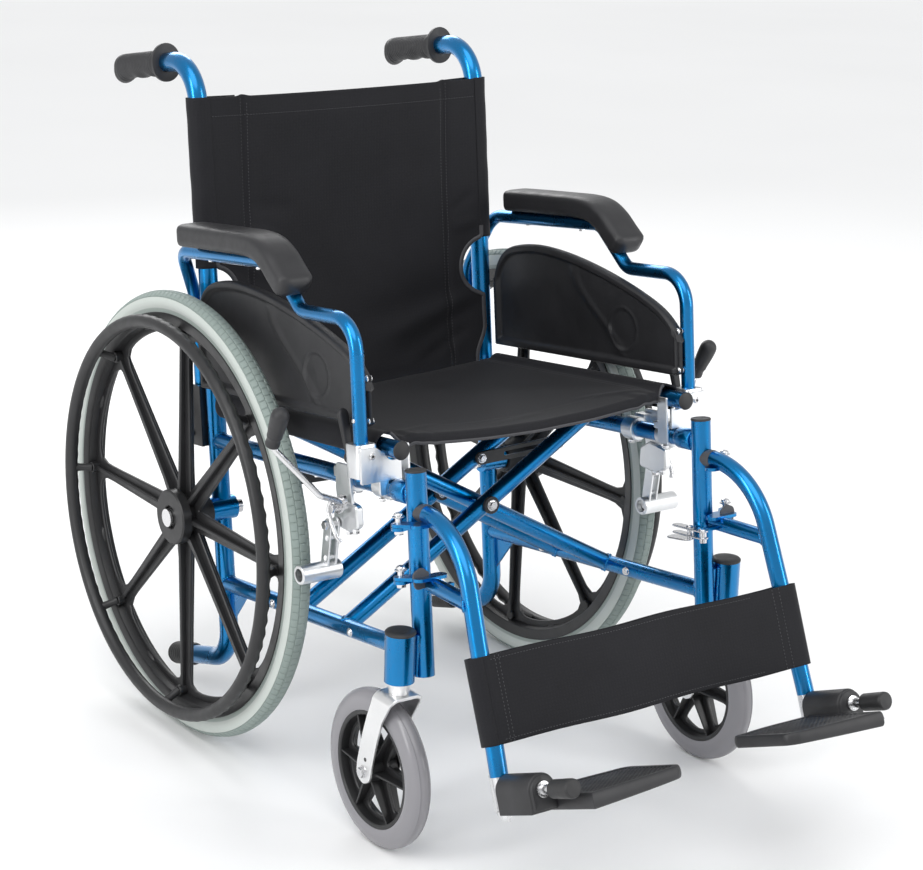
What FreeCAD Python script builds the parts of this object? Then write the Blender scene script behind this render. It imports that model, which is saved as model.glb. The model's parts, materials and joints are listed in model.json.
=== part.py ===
"""Folding manual wheelchair: two side frames joined by a scissor cross brace, with slings,
flip-back armrests, push-to-lock brakes, swivel casters and swing-away footrests.

Units are millimetres. +X is the user's left, -Y is forwards, +Z is up, and the origin is on the
floor. The welded side frames lean back about the rear axle, so the frame is drawn level with at(),
where y is counted from the axle, and then turned by lean(). The left side is drawn and the right
side is its mirror image."""
import FreeCAD, Part
import math
import os

V = FreeCAD.Vector
os.makedirs("parts", exist_ok=True)

# Whole chair
WHEEL_R = 300.0
AXLE_Y = 257.5
LEAN = 6.8
FRAME_X = 220.0
TUBE_R = 12.7
RAIL_R = 11.0
PLATE = 4.0
FIT = 0.05
GAP = 0.4

# Side frame, level heights and distances from the axle
POST_Y = -470.6
POST_LOW, POST_TOP = 171.5, 420.0
UPPER_Z, LOWER_Z = 392.0, 196.0
CANE_Y = 3.0
HANDLE_Z = 890.7
HANDLE_END_Y = 203.0
HANDLE_DROP = 0.055
HOUSING_X, HOUSING_Y, HOUSING_R = 254.5, -480.0, 18.5
HOUSING_LOW, HOUSING_TOP = 227.0, 287.0
STUB_FRONT_Y, STUB_REAR_Y = -316.0, -143.0
SPINDLE_R, SPINDLE_L = 8.5, 30.0

# Seat rails and cross brace
RAIL_Z = 441.0
RAIL_FRONT_Y, RAIL_REAR_Y = -441.0, -34.0
BRACE_Y = {"a": (-298.0, -187.0), "b": (-270.0, -159.0)}
BRACE_BOLT_R = 5.0

# Link bars, from under each upper side tube to the diagonal that rises towards it
LINK_X, LINK_Z, LINK_END_X = 195.0, 358.0, 64.6
LINK_R = 9.0

# Slings
SEAT_REAR_Y, SEAT_FRONT_Y = -34.0, -418.0
CLOTH = 3.0
BACK_LOW, BACK_TOP = 624.0, 846.0

# Rear wheel
WHEEL_X = 276.0
TYRE_R = 15.5
RIM_R = 272.0
HUB_R, HUB_IN, HUB_OUT = 29.0, 243.5, 301.0
SPOKES = 8
HANDRIM_X, HANDRIM_R, HANDRIM_TUBE = 313.0, 263.0, 9.0
AXLE_R = 6.0

# Caster
CASTER_R, CASTER_W, TRAIL = 100.0, 28.0, 38.0
STEM_R = 8.0

# Armrest
ARM_X, ARM_R = 254.0, 9.0
ARM_PIVOT_Y, ARM_PIVOT_Z = 38.0, 400.0
ARM_FRONT_Y = -407.0
ARM_TOP_Z, ARM_STEP_Z, ARM_LOW_Z = 652.0, 597.0, 405.0
PAD_IN, PAD_W, PAD_LOW, PAD_TOP = 236.0, 48.0, 659.0, 689.0
PANEL_X, PANEL_T = 238.0, 4.0
PIN_R = 4.0

# Brake
BRAKE_Y, BRAKE_Z, BRAKE_X = -343.0, 345.0, 251.0
SHOE_Y, SHOE_Z, SHOE_R = -319.5, 279.5, 12.0

# Hanger and footrest
HINGE_X, HINGE_Y = 252.0, -478.0
HANGER_SLOPE = 15.7
HANGER_FOOT = (237.0, -641.0, 92.0)
STEM_TUBE_R = 9.0
FOOT_PIVOT_Z = -16.0
FOOT_IN, FOOT_FRONT, FOOT_REAR = 158.0, -150.0, -11.5

ORIGIN = V(0, 0, 0)
X, Y, Z = V(1, 0, 0), V(0, 1, 0), V(0, 0, 1)


def at(x, y, z):
    """A point of the level frame, y counted from the rear axle."""
    return V(x, AXLE_Y + y, z)


def lean(shape):
    """The shape turned with the side frame, about the rear axle."""
    turned = shape.copy()
    turned.rotate(at(0, 0, WHEEL_R), X, -LEAN)
    return turned


def foot(shape):
    """A shape drawn about the hanger tube's lower end, y and z along and up the tube."""
    moved = shape.copy()
    moved.translate(at(*HANGER_FOOT))
    moved.rotate(at(*HANGER_FOOT), X, -HANGER_SLOPE)
    return lean(moved)


def rod(start, end, radius):
    """A round bar from one point to another."""
    return Part.makeCylinder(radius, (end - start).Length, start, end - start)


def box(low, high):
    """A box between two corners."""
    size = high - low
    return Part.makeBox(size.x, size.y, size.z, low)


def level_box(x, y, z):
    """A box in the level frame from three pairs of limits."""
    return box(at(x[0], y[0], z[0]), at(x[1], y[1], z[1]))


def joined(shapes):
    """One solid made of touching solids."""
    return shapes[0].multiFuse(shapes[1:]).removeSplitter()


def group(shapes):
    """Separate solids kept in one node."""
    return Part.Compound(shapes)


def bent(points, bends, radius):
    """A round tube along straight runs, with an arc of the given radius at each inner point."""
    edges = []
    start = points[0]
    for before, corner, after, bend in zip(points, points[1:], points[2:], bends):
        back = (before - corner).normalize()
        on = (after - corner).normalize()
        half = back.getAngle(on) / 2
        arc_start = corner + back * (bend / math.tan(half))
        arc_end = corner + on * (bend / math.tan(half))
        middle = corner + (back + on).normalize() * (bend / math.sin(half) - bend)
        edges.append(Part.LineSegment(start, arc_start).toShape())
        edges.append(Part.Arc(arc_start, middle, arc_end).toShape())
        start = arc_end
    edges.append(Part.LineSegment(start, points[-1]).toShape())
    profile = Part.Wire(Part.makeCircle(radius, points[0], points[1] - points[0]))
    return Part.Wire(edges).makePipeShell([profile], True, False)


def plate(points, thickness):
    """A flat plate with straight edges, raised by the thickness vector."""
    return Part.Face(Part.makePolygon(points + points[:1])).extrude(thickness)


def slot_bar(start, end, radius, thickness):
    """A flat bar with round ends between two points."""
    along = (end - start).normalize()
    side = along.cross(V(thickness).normalize()) * radius
    edges = [
        Part.LineSegment(start + side, end + side).toShape(),
        Part.Arc(end + side, end + along * radius, end - side).toShape(),
        Part.LineSegment(end - side, start - side).toShape(),
        Part.Arc(start - side, start - along * radius, start + side).toShape(),
    ]
    return Part.Face(Part.Wire(edges)).extrude(thickness)


def turned(profile, centre):
    """A ring turned about the X axis through a centre, from (x, radius) corners."""
    corners = [centre + V(x, 0, radius) for x, radius in profile]
    face = Part.Face(Part.makePolygon(corners + corners[:1]))
    return face.revolve(centre, X, 360)


# ---------------------------------------------------------------- side frame


def cane_end():
    """The rear end of the handle tube, which droops a little."""
    return at(FRAME_X, HANDLE_END_Y, HANDLE_Z - (HANDLE_END_Y - 84.0) * HANDLE_DROP)


def side_frame():
    """Front post, side tubes, cane with handle and tipping lever, gusset, lugs and stem housing."""
    corner_z = HANDLE_Z + (84.0 - CANE_Y) * HANDLE_DROP
    cane = bent([at(FRAME_X, 148, 67), at(FRAME_X, CANE_Y, 91), at(FRAME_X, CANE_Y, corner_z),
                 cane_end()], [50, 55], TUBE_R)
    post = rod(at(FRAME_X, POST_Y, POST_LOW), at(FRAME_X, POST_Y, POST_TOP), TUBE_R)
    upper = rod(at(FRAME_X, POST_Y, UPPER_Z), at(FRAME_X, CANE_Y, UPPER_Z), RAIL_R)
    front_stub = rod(at(FRAME_X, POST_Y, LOWER_Z), at(FRAME_X, STUB_FRONT_Y, LOWER_Z), RAIL_R)
    rear_stub = rod(at(FRAME_X, STUB_REAR_Y, LOWER_Z), at(FRAME_X, CANE_Y, LOWER_Z), RAIL_R)
    spindles = [
        rod(at(FRAME_X, STUB_FRONT_Y - 5, LOWER_Z), at(FRAME_X, STUB_FRONT_Y + SPINDLE_L, LOWER_Z),
            SPINDLE_R),
        rod(at(FRAME_X, STUB_REAR_Y + 5, LOWER_Z), at(FRAME_X, STUB_REAR_Y - SPINDLE_L, LOWER_Z),
            SPINDLE_R),
    ]
    gusset = plate([at(FRAME_X - 1.5, CANE_Y, LOWER_Z), at(FRAME_X - 1.5, -62, LOWER_Z),
                    at(FRAME_X - 1.5, CANE_Y, LOWER_Z - 66)], V(3, 0, 0))
    axle_sleeve = rod(at(FRAME_X - 16, 0, WHEEL_R), at(FRAME_X + 22, 0, WHEEL_R), 16)
    lugs = [hinge_lug(z) for z in (355.5, 291.5)]
    frame = lean(joined([cane, post, upper, front_stub, rear_stub, gusset, axle_sleeve]
                        + spindles + lugs))
    housing = rod(at(HOUSING_X, HOUSING_Y, HOUSING_LOW), at(HOUSING_X, HOUSING_Y, HOUSING_TOP),
                  HOUSING_R)
    weld = level_box((FRAME_X + 8, HOUSING_X - 12), (HOUSING_Y - 6, HOUSING_Y + 6),
                     (HOUSING_LOW + 6, HOUSING_TOP - 6))
    stem_bore = rod(at(HOUSING_X, HOUSING_Y, HOUSING_LOW - 1),
                    at(HOUSING_X, HOUSING_Y, HOUSING_TOP - 8), STEM_R + FIT)
    axle_bore = rod(at(FRAME_X - 20, 0, WHEEL_R), at(FRAME_X + 30, 0, WHEEL_R), AXLE_R)
    return joined([frame, housing, weld]).cut(stem_bore).cut(axle_bore)


def hinge_lug(z):
    """The small plate on the front post that carries one hanger hinge pin."""
    lug = slot_bar(at(FRAME_X, POST_Y, z), at(HINGE_X, HINGE_Y, z), 9, V(0, 0, PLATE))
    return lug.cut(rod(at(HINGE_X, HINGE_Y, z - 1), at(HINGE_X, HINGE_Y, z + 9), PIN_R))


def push_grip():
    """Rubber handle grip with a round flange in front and a lobe under its rear end."""
    flange_y = 84.0
    axis = (cane_end() - at(FRAME_X, flange_y, HANDLE_Z)).normalize()
    start = at(FRAME_X, flange_y, HANDLE_Z) - axis * 3
    end = cane_end() + axis * 4
    body = rod(start, end, 16)
    flange = rod(start, start + axis * 5, 23)
    lobe = rod(end - axis * 24 + V(0, 0, -5), end + V(0, 0, -5), 16)
    bore = rod(start - axis, cane_end(), TUBE_R)
    return lean(joined([body, flange, lobe]).cut(bore))


def axle_bolts():
    """Wheel axle bolt, hanger hinge pins, lower rail bolts and socket bolt."""
    axle = joined([rod(at(FRAME_X - 22, 0, WHEEL_R), at(HUB_OUT + 1, 0, WHEEL_R), AXLE_R),
                   rod(at(FRAME_X - 26, 0, WHEEL_R), at(FRAME_X - 16, 0, WHEEL_R), 10),
                   rod(at(HUB_OUT + 1, 0, WHEEL_R), at(HUB_OUT + 5, 0, WHEEL_R), 12)])
    pins = [rod(at(HINGE_X, HINGE_Y, z), at(HINGE_X, HINGE_Y, z + 19), PIN_R)
            for z in (355.5, 291.5)]
    rail_bolts = [rod(at(FRAME_X - RAIL_R - 3, y, LOWER_Z), at(FRAME_X - RAIL_R + 0.5, y, LOWER_Z), 5)
                  for y in (STUB_FRONT_Y - 8, STUB_REAR_Y + 6)]
    return lean(group([axle] + pins + rail_bolts))


def rubber_caps():
    """Post plug, stem housing cap and the rubber tip of the tipping lever."""
    plug = lean(rod(at(FRAME_X, POST_Y, POST_TOP), at(FRAME_X, POST_Y, POST_TOP + 3), TUBE_R))
    cap = rod(at(HOUSING_X, HOUSING_Y, HOUSING_TOP), at(HOUSING_X, HOUSING_Y, HOUSING_TOP + 5), 17)
    tip = rod(at(FRAME_X, 102, 74.6), at(FRAME_X, 163, 64.6), 16)
    tip = tip.cut(rod(at(FRAME_X, 90, 76.6), at(FRAME_X, 148, 67), TUBE_R))
    return group([plug, cap, lean(tip)])


def arm_socket():
    """Aluminium socket block for the armrest's front tube, with a cradle for the seat rail."""
    block = level_box((240, 268.5), (-421.5, -392.5), (394, 450))
    wing = level_box((198, 262), (-421.5, -416.5), (400, 447))
    saddle = level_box((202, 246), (-432, -392.5), (UPPER_Z - 17, UPPER_Z + 22))
    clip = level_box((199, 202), (-428, -410), (388, 447))
    body = joined([block, wing, saddle, clip])
    cradle = rod(at(FRAME_X, -440, RAIL_Z), at(FRAME_X, -380, RAIL_Z), RAIL_R + 2.2)
    mouth = level_box((FRAME_X - RAIL_R - 2.2, FRAME_X + RAIL_R + 2.2), (-440, -380), (RAIL_Z, 460))
    tube = rod(at(FRAME_X, -440, UPPER_Z), at(FRAME_X, -380, UPPER_Z), RAIL_R)
    bore = rod(at(ARM_X, ARM_FRONT_Y, ARM_LOW_Z - 3), at(ARM_X, ARM_FRONT_Y, 460), ARM_R + FIT)
    return lean(body.cut(cradle).cut(mouth).cut(tube).cut(bore))


def arm_bracket():
    """Black channel behind the cane that holds the armrest's rear pivot."""
    cheeks = [level_box((x, x + PLATE), (CANE_Y + 11, ARM_PIVOT_Y + 9), (384, 466))
              for x in (FRAME_X - 13.5 - PLATE, FRAME_X + 13.5)]
    web = level_box((FRAME_X - 14, FRAME_X + 14), (CANE_Y + TUBE_R, CANE_Y + TUBE_R + 3), (384, 466))
    pin = rod(at(FRAME_X - 20, ARM_PIVOT_Y, ARM_PIVOT_Z), at(FRAME_X + 20, ARM_PIVOT_Y, ARM_PIVOT_Z),
              PIN_R)
    cane = rod(at(FRAME_X, CANE_Y, 370), at(FRAME_X, CANE_Y, 480), TUBE_R)
    return lean(joined(cheeks + [web, pin]).cut(cane))


def brake_bracket():
    """Clamp on the upper side tube with the hanging plate that carries the brake."""
    clamp = level_box((203, 240), (BRAKE_Y - 4, BRAKE_Y + 18), (UPPER_Z - 17, UPPER_Z + 17))
    tube = rod(at(FRAME_X, BRAKE_Y - 20, UPPER_Z), at(FRAME_X, BRAKE_Y + 30, UPPER_Z), RAIL_R)
    arm = level_box((236, 246), (BRAKE_Y - 8, BRAKE_Y + 16), (UPPER_Z - 30, UPPER_Z + 17))
    side = plate([at(242, BRAKE_Y - 15, UPPER_Z - 6), at(242, BRAKE_Y + 22, UPPER_Z - 6),
                  at(242, BRAKE_Y + 18, BRAKE_Z - 14), at(242, BRAKE_Y - 15, BRAKE_Z - 14)],
                 V(PLATE, 0, 0))
    pins = [rod(at(242, y, z), at(262, y, z), PIN_R)
            for y, z in ((BRAKE_Y - 8, BRAKE_Z + 18), (BRAKE_Y + 10, BRAKE_Z - 6))]
    return lean(joined([clamp, arm, side] + pins).cut(tube))


# ---------------------------------------------------------------- wheels


def rear_wheel():
    """Moulded hub, spokes and rim of a rear wheel."""
    centre = at(WHEEL_X, 0, WHEEL_R)
    rim = turned([(-13, 255), (13, 255), (14, RIM_R), (-14, RIM_R)], centre)
    hub = rod(at(HUB_IN, 0, WHEEL_R), at(HUB_OUT, 0, WHEEL_R), HUB_R)
    parts = [rim, hub]
    for index in range(SPOKES):
        spoke = plate([centre + V(-9, -13, 20), centre + V(-9, 13, 20), centre + V(-9, 9, 258),
                       centre + V(-9, -9, 258)], V(16, 0, 0))
        spoke.rotate(centre, X, index * 360 / SPOKES)
        parts.append(spoke)
    bore = rod(at(HUB_IN - 1, 0, WHEEL_R), at(HUB_OUT + 1, 0, WHEEL_R), AXLE_R + FIT)
    return joined(parts).cut(bore)


def rear_tyre():
    """Solid tyre seated on the rim."""
    centre = at(WHEEL_X, 0, WHEEL_R)
    ring = Part.makeTorus(WHEEL_R - TYRE_R, TYRE_R, centre, X)
    return ring.cut(rod(centre - X * 30, centre + X * 30, RIM_R))


def handrim():
    """Hand rim with its stand-off arms."""
    centre = at(HANDRIM_X, 0, WHEEL_R)
    ring = Part.makeTorus(HANDRIM_R, HANDRIM_TUBE, centre, X)
    arms = []
    for index in range(SPOKES):
        arm = rod(centre + V(WHEEL_X + 13.5 - HANDRIM_X, 0, 262), centre + V(0, 0, 262), 6)
        arm.rotate(centre, X, index * 360 / SPOKES)
        arms.append(arm)
    return joined([ring] + arms)


def caster_fork():
    """Swivel stem, crown and two legs of a caster."""
    stem = rod(at(HOUSING_X, HOUSING_Y, 206), at(HOUSING_X, HOUSING_Y, HOUSING_TOP - 10), STEM_R)
    collar = rod(at(HOUSING_X, HOUSING_Y, 206), at(HOUSING_X, HOUSING_Y, HOUSING_LOW - GAP), 14)
    crown = level_box((HOUSING_X - 24, HOUSING_X + 24), (HOUSING_Y - 20, HOUSING_Y + 22), (206, 214))
    parts = [stem, collar, crown]
    for x in (HOUSING_X - 24, HOUSING_X + 24 - PLATE):
        parts.append(plate([at(x, HOUSING_Y - 20, 214), at(x, HOUSING_Y + 22, 214),
                            at(x, HOUSING_Y + 40, 150), at(x, HOUSING_Y + TRAIL + 15, 100),
                            at(x, HOUSING_Y + TRAIL, 86), at(x, HOUSING_Y + TRAIL - 14, 94),
                            at(x, HOUSING_Y, 176)], V(PLATE, 0, 0)))
    bore = rod(at(HOUSING_X - 40, HOUSING_Y + TRAIL, CASTER_R),
               at(HOUSING_X + 40, HOUSING_Y + TRAIL, CASTER_R), PIN_R)
    return joined(parts).cut(bore)


def caster_axle():
    """Caster axle bolt with its head and nut."""
    y = HOUSING_Y + TRAIL
    return joined([rod(at(HOUSING_X - 30, y, CASTER_R), at(HOUSING_X + 30, y, CASTER_R), PIN_R),
                   rod(at(HOUSING_X - 31, y, CASTER_R), at(HOUSING_X - 24, y, CASTER_R), 8),
                   rod(at(HOUSING_X + 24, y, CASTER_R), at(HOUSING_X + 31, y, CASTER_R), 8)])


def caster_wheel():
    """Caster hub with six spokes and a rim."""
    centre = at(HOUSING_X, HOUSING_Y + TRAIL, CASTER_R)
    rim = turned([(-12, 68), (12, 68), (12, 74), (-12, 74)], centre)
    hub = rod(centre - X * 19, centre + X * 19, 17)
    parts = [rim, hub]
    for index in range(6):
        spoke = plate([centre + V(-9, -7, 10), centre + V(-9, 7, 10), centre + V(-9, 6, 70),
                       centre + V(-9, -6, 70)], V(18, 0, 0))
        spoke.rotate(centre, X, index * 60)
        parts.append(spoke)
    return joined(parts).cut(rod(centre - X * 20, centre + X * 20, PIN_R + FIT))


def caster_tyre():
    """Caster tyre with rounded shoulders."""
    centre = at(HOUSING_X, HOUSING_Y + TRAIL, CASTER_R)
    half = CASTER_W / 2
    return turned([(-half + 2, 74), (half - 2, 74), (half, 88), (half - 3, 95), (half - 8, 99),
                   (3, CASTER_R), (-3, CASTER_R), (8 - half, 99), (3 - half, 95), (-half, 88)], centre)


# ---------------------------------------------------------------- armrest


def arm_tube():
    """Armrest tube from the rear pivot, under the pad and down to the front socket."""
    path = [at(FRAME_X + 1, ARM_PIVOT_Y, 388), at(FRAME_X + 1, ARM_PIVOT_Y - 2, 575),
            at(ARM_X - 2, 12, ARM_TOP_Z - 3), at(ARM_X, -232, ARM_TOP_Z),
            at(ARM_X, -288, ARM_STEP_Z), at(ARM_X, ARM_FRONT_Y, ARM_STEP_Z),
            at(ARM_X, ARM_FRONT_Y, ARM_LOW_Z)]
    tube = bent(path, [60, 28, 30, 26, 40], ARM_R)
    pin = rod(at(200, ARM_PIVOT_Y, ARM_PIVOT_Z), at(240, ARM_PIVOT_Y, ARM_PIVOT_Z), PIN_R + FIT)
    return lean(tube.cut(pin))


def arm_pad():
    """Padded armrest that follows the tube and slopes down in front."""
    outline = [at(PAD_IN, -32, PAD_LOW), at(PAD_IN, -231, PAD_LOW), at(PAD_IN, -279, 615),
               at(PAD_IN, -298, 630), at(PAD_IN, -292, 646), at(PAD_IN, -250, PAD_TOP - 5),
               at(PAD_IN, -228, PAD_TOP), at(PAD_IN, -40, PAD_TOP), at(PAD_IN, -30, PAD_TOP - 8),
               at(PAD_IN, -28, PAD_LOW + 6)]
    pad = plate(outline, V(PAD_W, 0, 0))
    tube = bent([at(ARM_X, 60, ARM_TOP_Z), at(ARM_X, -232, ARM_TOP_Z), at(ARM_X, -330, 555.75)],
                [30], ARM_R)
    return lean(pad.cut(tube))


def arm_panel():
    """Moulded skirt guard with an arched top."""
    x = PANEL_X
    points = [at(x, -60, 613), at(x, -120, 617), at(x, -200, 607), at(x, -290, 585),
              at(x, -365, 558), at(x, -411, 520)]
    arch = Part.BSplineCurve()
    arch.interpolate([at(x, -8, 578)] + points)
    edges = [arch.toShape()]
    corners = [points[-1], at(x, -411, 466), at(x, -8, 466), at(x, -8, 578)]
    edges += [Part.LineSegment(a, b).toShape() for a, b in zip(corners, corners[1:])]
    return lean(Part.Face(Part.Wire(edges)).extrude(V(PANEL_T, 0, 0)))


def arm_latch():
    """Black lever beside the socket that frees the armrest's front tube."""
    y = ARM_FRONT_Y + 22
    knuckle = rod(at(250, y, 430), at(262, y, 430), 6)
    lever = slot_bar(at(252, y, 430), at(252, y + 14, 486), 6, V(8, 0, 0))
    return lean(joined([knuckle, lever]))


# ---------------------------------------------------------------- brake


def lever_path():
    """The brake lever's rod, from its cam up and outwards and then forwards through the grip."""
    return [at(256, BRAKE_Y - 18, BRAKE_Z + 27), at(284, -357, 383), at(331, -329, 446),
            at(333, -357, 488)]


def brake_lever():
    """Steel lever rod with its cam plate on the upper pin."""
    y, z = BRAKE_Y - 8, BRAKE_Z + 18
    cam = slot_bar(at(BRAKE_X + 2, y, z), at(BRAKE_X + 2, y - 10, z + 10), 8, V(PLATE, 0, 0))
    arm = bent(lever_path(), [12, 14], 4)
    hole = rod(at(240, y, z), at(270, y, z), PIN_R + FIT)
    return lean(joined([cam, arm]).cut(hole))


def brake_grip():
    """Rubber grip at the end of the brake lever."""
    low, high = lever_path()[2:]
    along = (high - low).normalize()
    grip = rod(low + along * 2, high, 10.5)
    ball = Part.makeSphere(10.5, high)
    return lean(joined([grip, ball]).cut(bent(lever_path(), [12, 14], 4)))


def brake_shoe():
    """Hanging link with the tube that presses on the tyre."""
    y, z = BRAKE_Y + 10, BRAKE_Z - 6
    link = slot_bar(at(BRAKE_X - 4, y, z), at(BRAKE_X - 4, SHOE_Y, SHOE_Z), 10, V(PLATE, 0, 0))
    shoe = rod(at(240, SHOE_Y, SHOE_Z), at(297, SHOE_Y, SHOE_Z), SHOE_R)
    hole = rod(at(238, y, z), at(270, y, z), PIN_R + FIT)
    return lean(joined([link, shoe]).cut(hole))


# ---------------------------------------------------------------- hanger and footrest


def hanger():
    """Swing-away hanger tube with its lower arm and two hinge ears."""
    foot_x, foot_y, foot_z = HANGER_FOOT
    tube = bent([at(221, POST_Y - 15, 372), at(224, -563, 372), at(foot_x, foot_y, foot_z)],
                [100], RAIL_R)
    arm = rod(at(222, POST_Y - 18, 290), at(230, -584, 283), 10)
    ears = []
    for z in (360.0, 296.0):
        ear = joined([slot_bar(at(HINGE_X, HINGE_Y, z), at(232, -500, z), 9, V(0, 0, PLATE)),
                      slot_bar(at(240, -500, z), at(212, -500, z), 9, V(0, 0, PLATE))])
        ears.append(ear.cut(rod(at(FRAME_X, POST_Y, z - 1), at(FRAME_X, POST_Y, z + 9),
                                TUBE_R + 1.5)))
    latch_arm = level_box((197, 222), (-508, -500), (284, 288))
    bore = rod(V(0, 0, -5), V(0, 0, 118), STEM_TUBE_R + FIT)
    body = joined([tube, arm, latch_arm] + ears)
    for z in (360.0, 296.0):
        body = body.cut(rod(at(HINGE_X, HINGE_Y, z - 1), at(HINGE_X, HINGE_Y, z + 9), PIN_R + FIT))
    return lean(body).cut(foot(bore))


def hanger_latch():
    """Release lever on the inner side of the front post."""
    lever = level_box((194, 202), (-502, -436), (271, 283.6))
    tab = rod(at(198, -444, 266), at(198, -444, 271.5), 11)
    pin = rod(at(198, -496, 270), at(198, -496, 283.6), 5)
    return lean(joined([lever, tab, pin]))


def footrest_stem():
    """Telescoping footrest stem with the pin that the footplate turns on."""
    stem = rod(V(0, 0, -44), V(0, 0, 100), STEM_TUBE_R)
    pin = rod(V(0, 0, FOOT_PIVOT_Z), V(0, -132, FOOT_PIVOT_Z), 6)
    return foot(joined([stem, pin]))


def footplate():
    """Folding footplate with the barrel that turns on the pin."""
    barrel = rod(V(0, FOOT_REAR, FOOT_PIVOT_Z), V(0, -82, FOOT_PIVOT_Z), 19)
    block = box(V(-24, -80, -42), V(19, FOOT_REAR, FOOT_PIVOT_Z))
    deck = plate([V(-16, FOOT_FRONT, -40), V(-16, FOOT_FRONT, -12), V(-FOOT_IN, FOOT_FRONT, -26),
                  V(-FOOT_IN, FOOT_FRONT, -36)], V(0, FOOT_REAR - 8 - FOOT_FRONT, 0))
    bore = rod(V(0, 10, FOOT_PIVOT_Z), V(0, -140, FOOT_PIVOT_Z), 6 + FIT)
    return foot(joined([barrel, block, deck]).cut(bore))


def footplate_bumper():
    """Rubber bumper on the front of the footplate pin."""
    bumper = rod(V(0, -103, FOOT_PIVOT_Z), V(0, -140, FOOT_PIVOT_Z), 11)
    return foot(bumper.cut(rod(V(0, -90, FOOT_PIVOT_Z), V(0, -132, FOOT_PIVOT_Z), 6)))


# ---------------------------------------------------------------- cross brace


def brace_member(name, foot_side):
    """One scissor member: rotating lower tube, two diagonals and the seat rail on top."""
    low_x, top_x = foot_side * FRAME_X, -foot_side * FRAME_X
    sleeve = rod(at(low_x, STUB_FRONT_Y + GAP, LOWER_Z), at(low_x, STUB_REAR_Y - GAP, LOWER_Z), RAIL_R)
    rail = rod(at(top_x, RAIL_FRONT_Y, RAIL_Z), at(top_x, RAIL_REAR_Y, RAIL_Z), RAIL_R)
    diagonals = [rod(at(low_x, y, LOWER_Z), at(top_x, y, RAIL_Z), RAIL_R) for y in BRACE_Y[name]]
    member = joined([sleeve, rail] + diagonals)
    for start, end in ((STUB_FRONT_Y - 1, STUB_FRONT_Y + SPINDLE_L + 1),
                       (STUB_REAR_Y - SPINDLE_L - 1, STUB_REAR_Y + 1)):
        member = member.cut(rod(at(low_x, start, LOWER_Z), at(low_x, end, LOWER_Z), SPINDLE_R + FIT))
    middle = (LOWER_Z + RAIL_Z) / 2
    bolt_r = BRACE_BOLT_R if name == "a" else BRACE_BOLT_R + FIT
    for y in BRACE_Y[name]:
        member = member.cut(rod(at(0, y - 20, middle), at(0, y + 20, middle), bolt_r))
    return lean(member)


def brace_bolts():
    """Centre bolts of the scissor with their rubber washers."""
    middle = (LOWER_Z + RAIL_Z) / 2
    bolts = []
    for front, rear in zip(BRACE_Y["a"], BRACE_Y["b"]):
        head_y, nut_y = front - RAIL_R, rear + RAIL_R
        bolts.append(joined([
            rod(at(0, head_y - 4, middle), at(0, nut_y + 6, middle), BRACE_BOLT_R),
            rod(at(0, head_y - 4, middle), at(0, head_y, middle), 13),
            rod(at(0, nut_y + GAP, middle), at(0, nut_y + 6, middle), 9)]))
    return lean(group(bolts))


def link_y(side):
    """The front face of a link bar: before member a on the left, behind member b on the right."""
    if side > 0:
        return BRACE_Y["a"][1] - RAIL_R - PLATE - 1.5
    return BRACE_Y["b"][1] + RAIL_R + 1.5


def link_bar(side):
    """Flat bar between a side frame and the rear diagonal that rises towards it."""
    end_z = LOWER_Z + (LINK_END_X + FRAME_X) * (RAIL_Z - LOWER_Z) / (2 * FRAME_X)
    y = link_y(side)
    bar = slot_bar(at(side * LINK_X, y, LINK_Z), at(side * LINK_END_X, y, end_z), LINK_R,
                   V(0, PLATE, 0))
    hole = rod(at(side * LINK_X, y - 1, LINK_Z), at(side * LINK_X, y + PLATE + 1, LINK_Z), PIN_R + FIT)
    return lean(bar.cut(hole))


def link_lug(side):
    """Tab under an upper side tube with the pin that carries the link bar."""
    y = link_y(side)
    behind = y + PLATE + GAP
    tab = slot_bar(at(side * LINK_X, behind, LINK_Z), at(side * (FRAME_X - 3), behind, UPPER_Z - 3),
                   LINK_R, V(0, PLATE, 0))
    pin = rod(at(side * LINK_X, y - 3, LINK_Z), at(side * LINK_X, behind + 1, LINK_Z), PIN_R)
    return lean(joined([tab, pin]))


# ---------------------------------------------------------------- slings


def seat_sling():
    """Seat cloth stretched between the rails, drawn as one closed sheet."""
    half = FRAME_X - RAIL_R - 3
    return lean(level_box((-half, half), (SEAT_FRONT_Y, SEAT_REAR_Y), (RAIL_Z + 6, RAIL_Z + 6 + CLOTH)))


def back_sling():
    """Back cloth stretched between the canes, drawn as one closed sheet with a longer middle."""
    half = FRAME_X - TUBE_R - 3
    y = CANE_Y - TUBE_R - CLOTH
    upper = level_box((-half, half), (y, y + CLOTH), (BACK_LOW, BACK_TOP))
    lower = level_box((-half + 36, half - 36), (y, y + CLOTH), (RAIL_Z + 30, BACK_LOW))
    return lean(joined([upper, lower]))


def calf_strap():
    """Calf strap between the hanger tubes, drawn as one closed sheet."""
    strap = box(V(-2 * HANGER_FOOT[0] + 18, -18, 38), V(-18, -15, 136))
    return foot(strap)


SIDE_PARTS = {
    "push_grip": push_grip, "axle_bolts": axle_bolts, "rubber_caps": rubber_caps,
    "arm_socket": arm_socket, "arm_bracket": arm_bracket,
    "brake_bracket": brake_bracket, "rear_wheel": rear_wheel, "rear_tyre": rear_tyre,
    "handrim": handrim, "caster_fork": caster_fork, "caster_axle": caster_axle,
    "caster_wheel": caster_wheel, "caster_tyre": caster_tyre, "arm_tube": arm_tube,
    "arm_pad": arm_pad, "arm_panel": arm_panel, "arm_latch": arm_latch,
    "brake_lever": brake_lever, "brake_grip": brake_grip, "brake_shoe": brake_shoe,
    "hanger": hanger, "hanger_latch": hanger_latch, "footrest_stem": footrest_stem,
    "footplate": footplate, "footplate_bumper": footplate_bumper,
}

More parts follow.
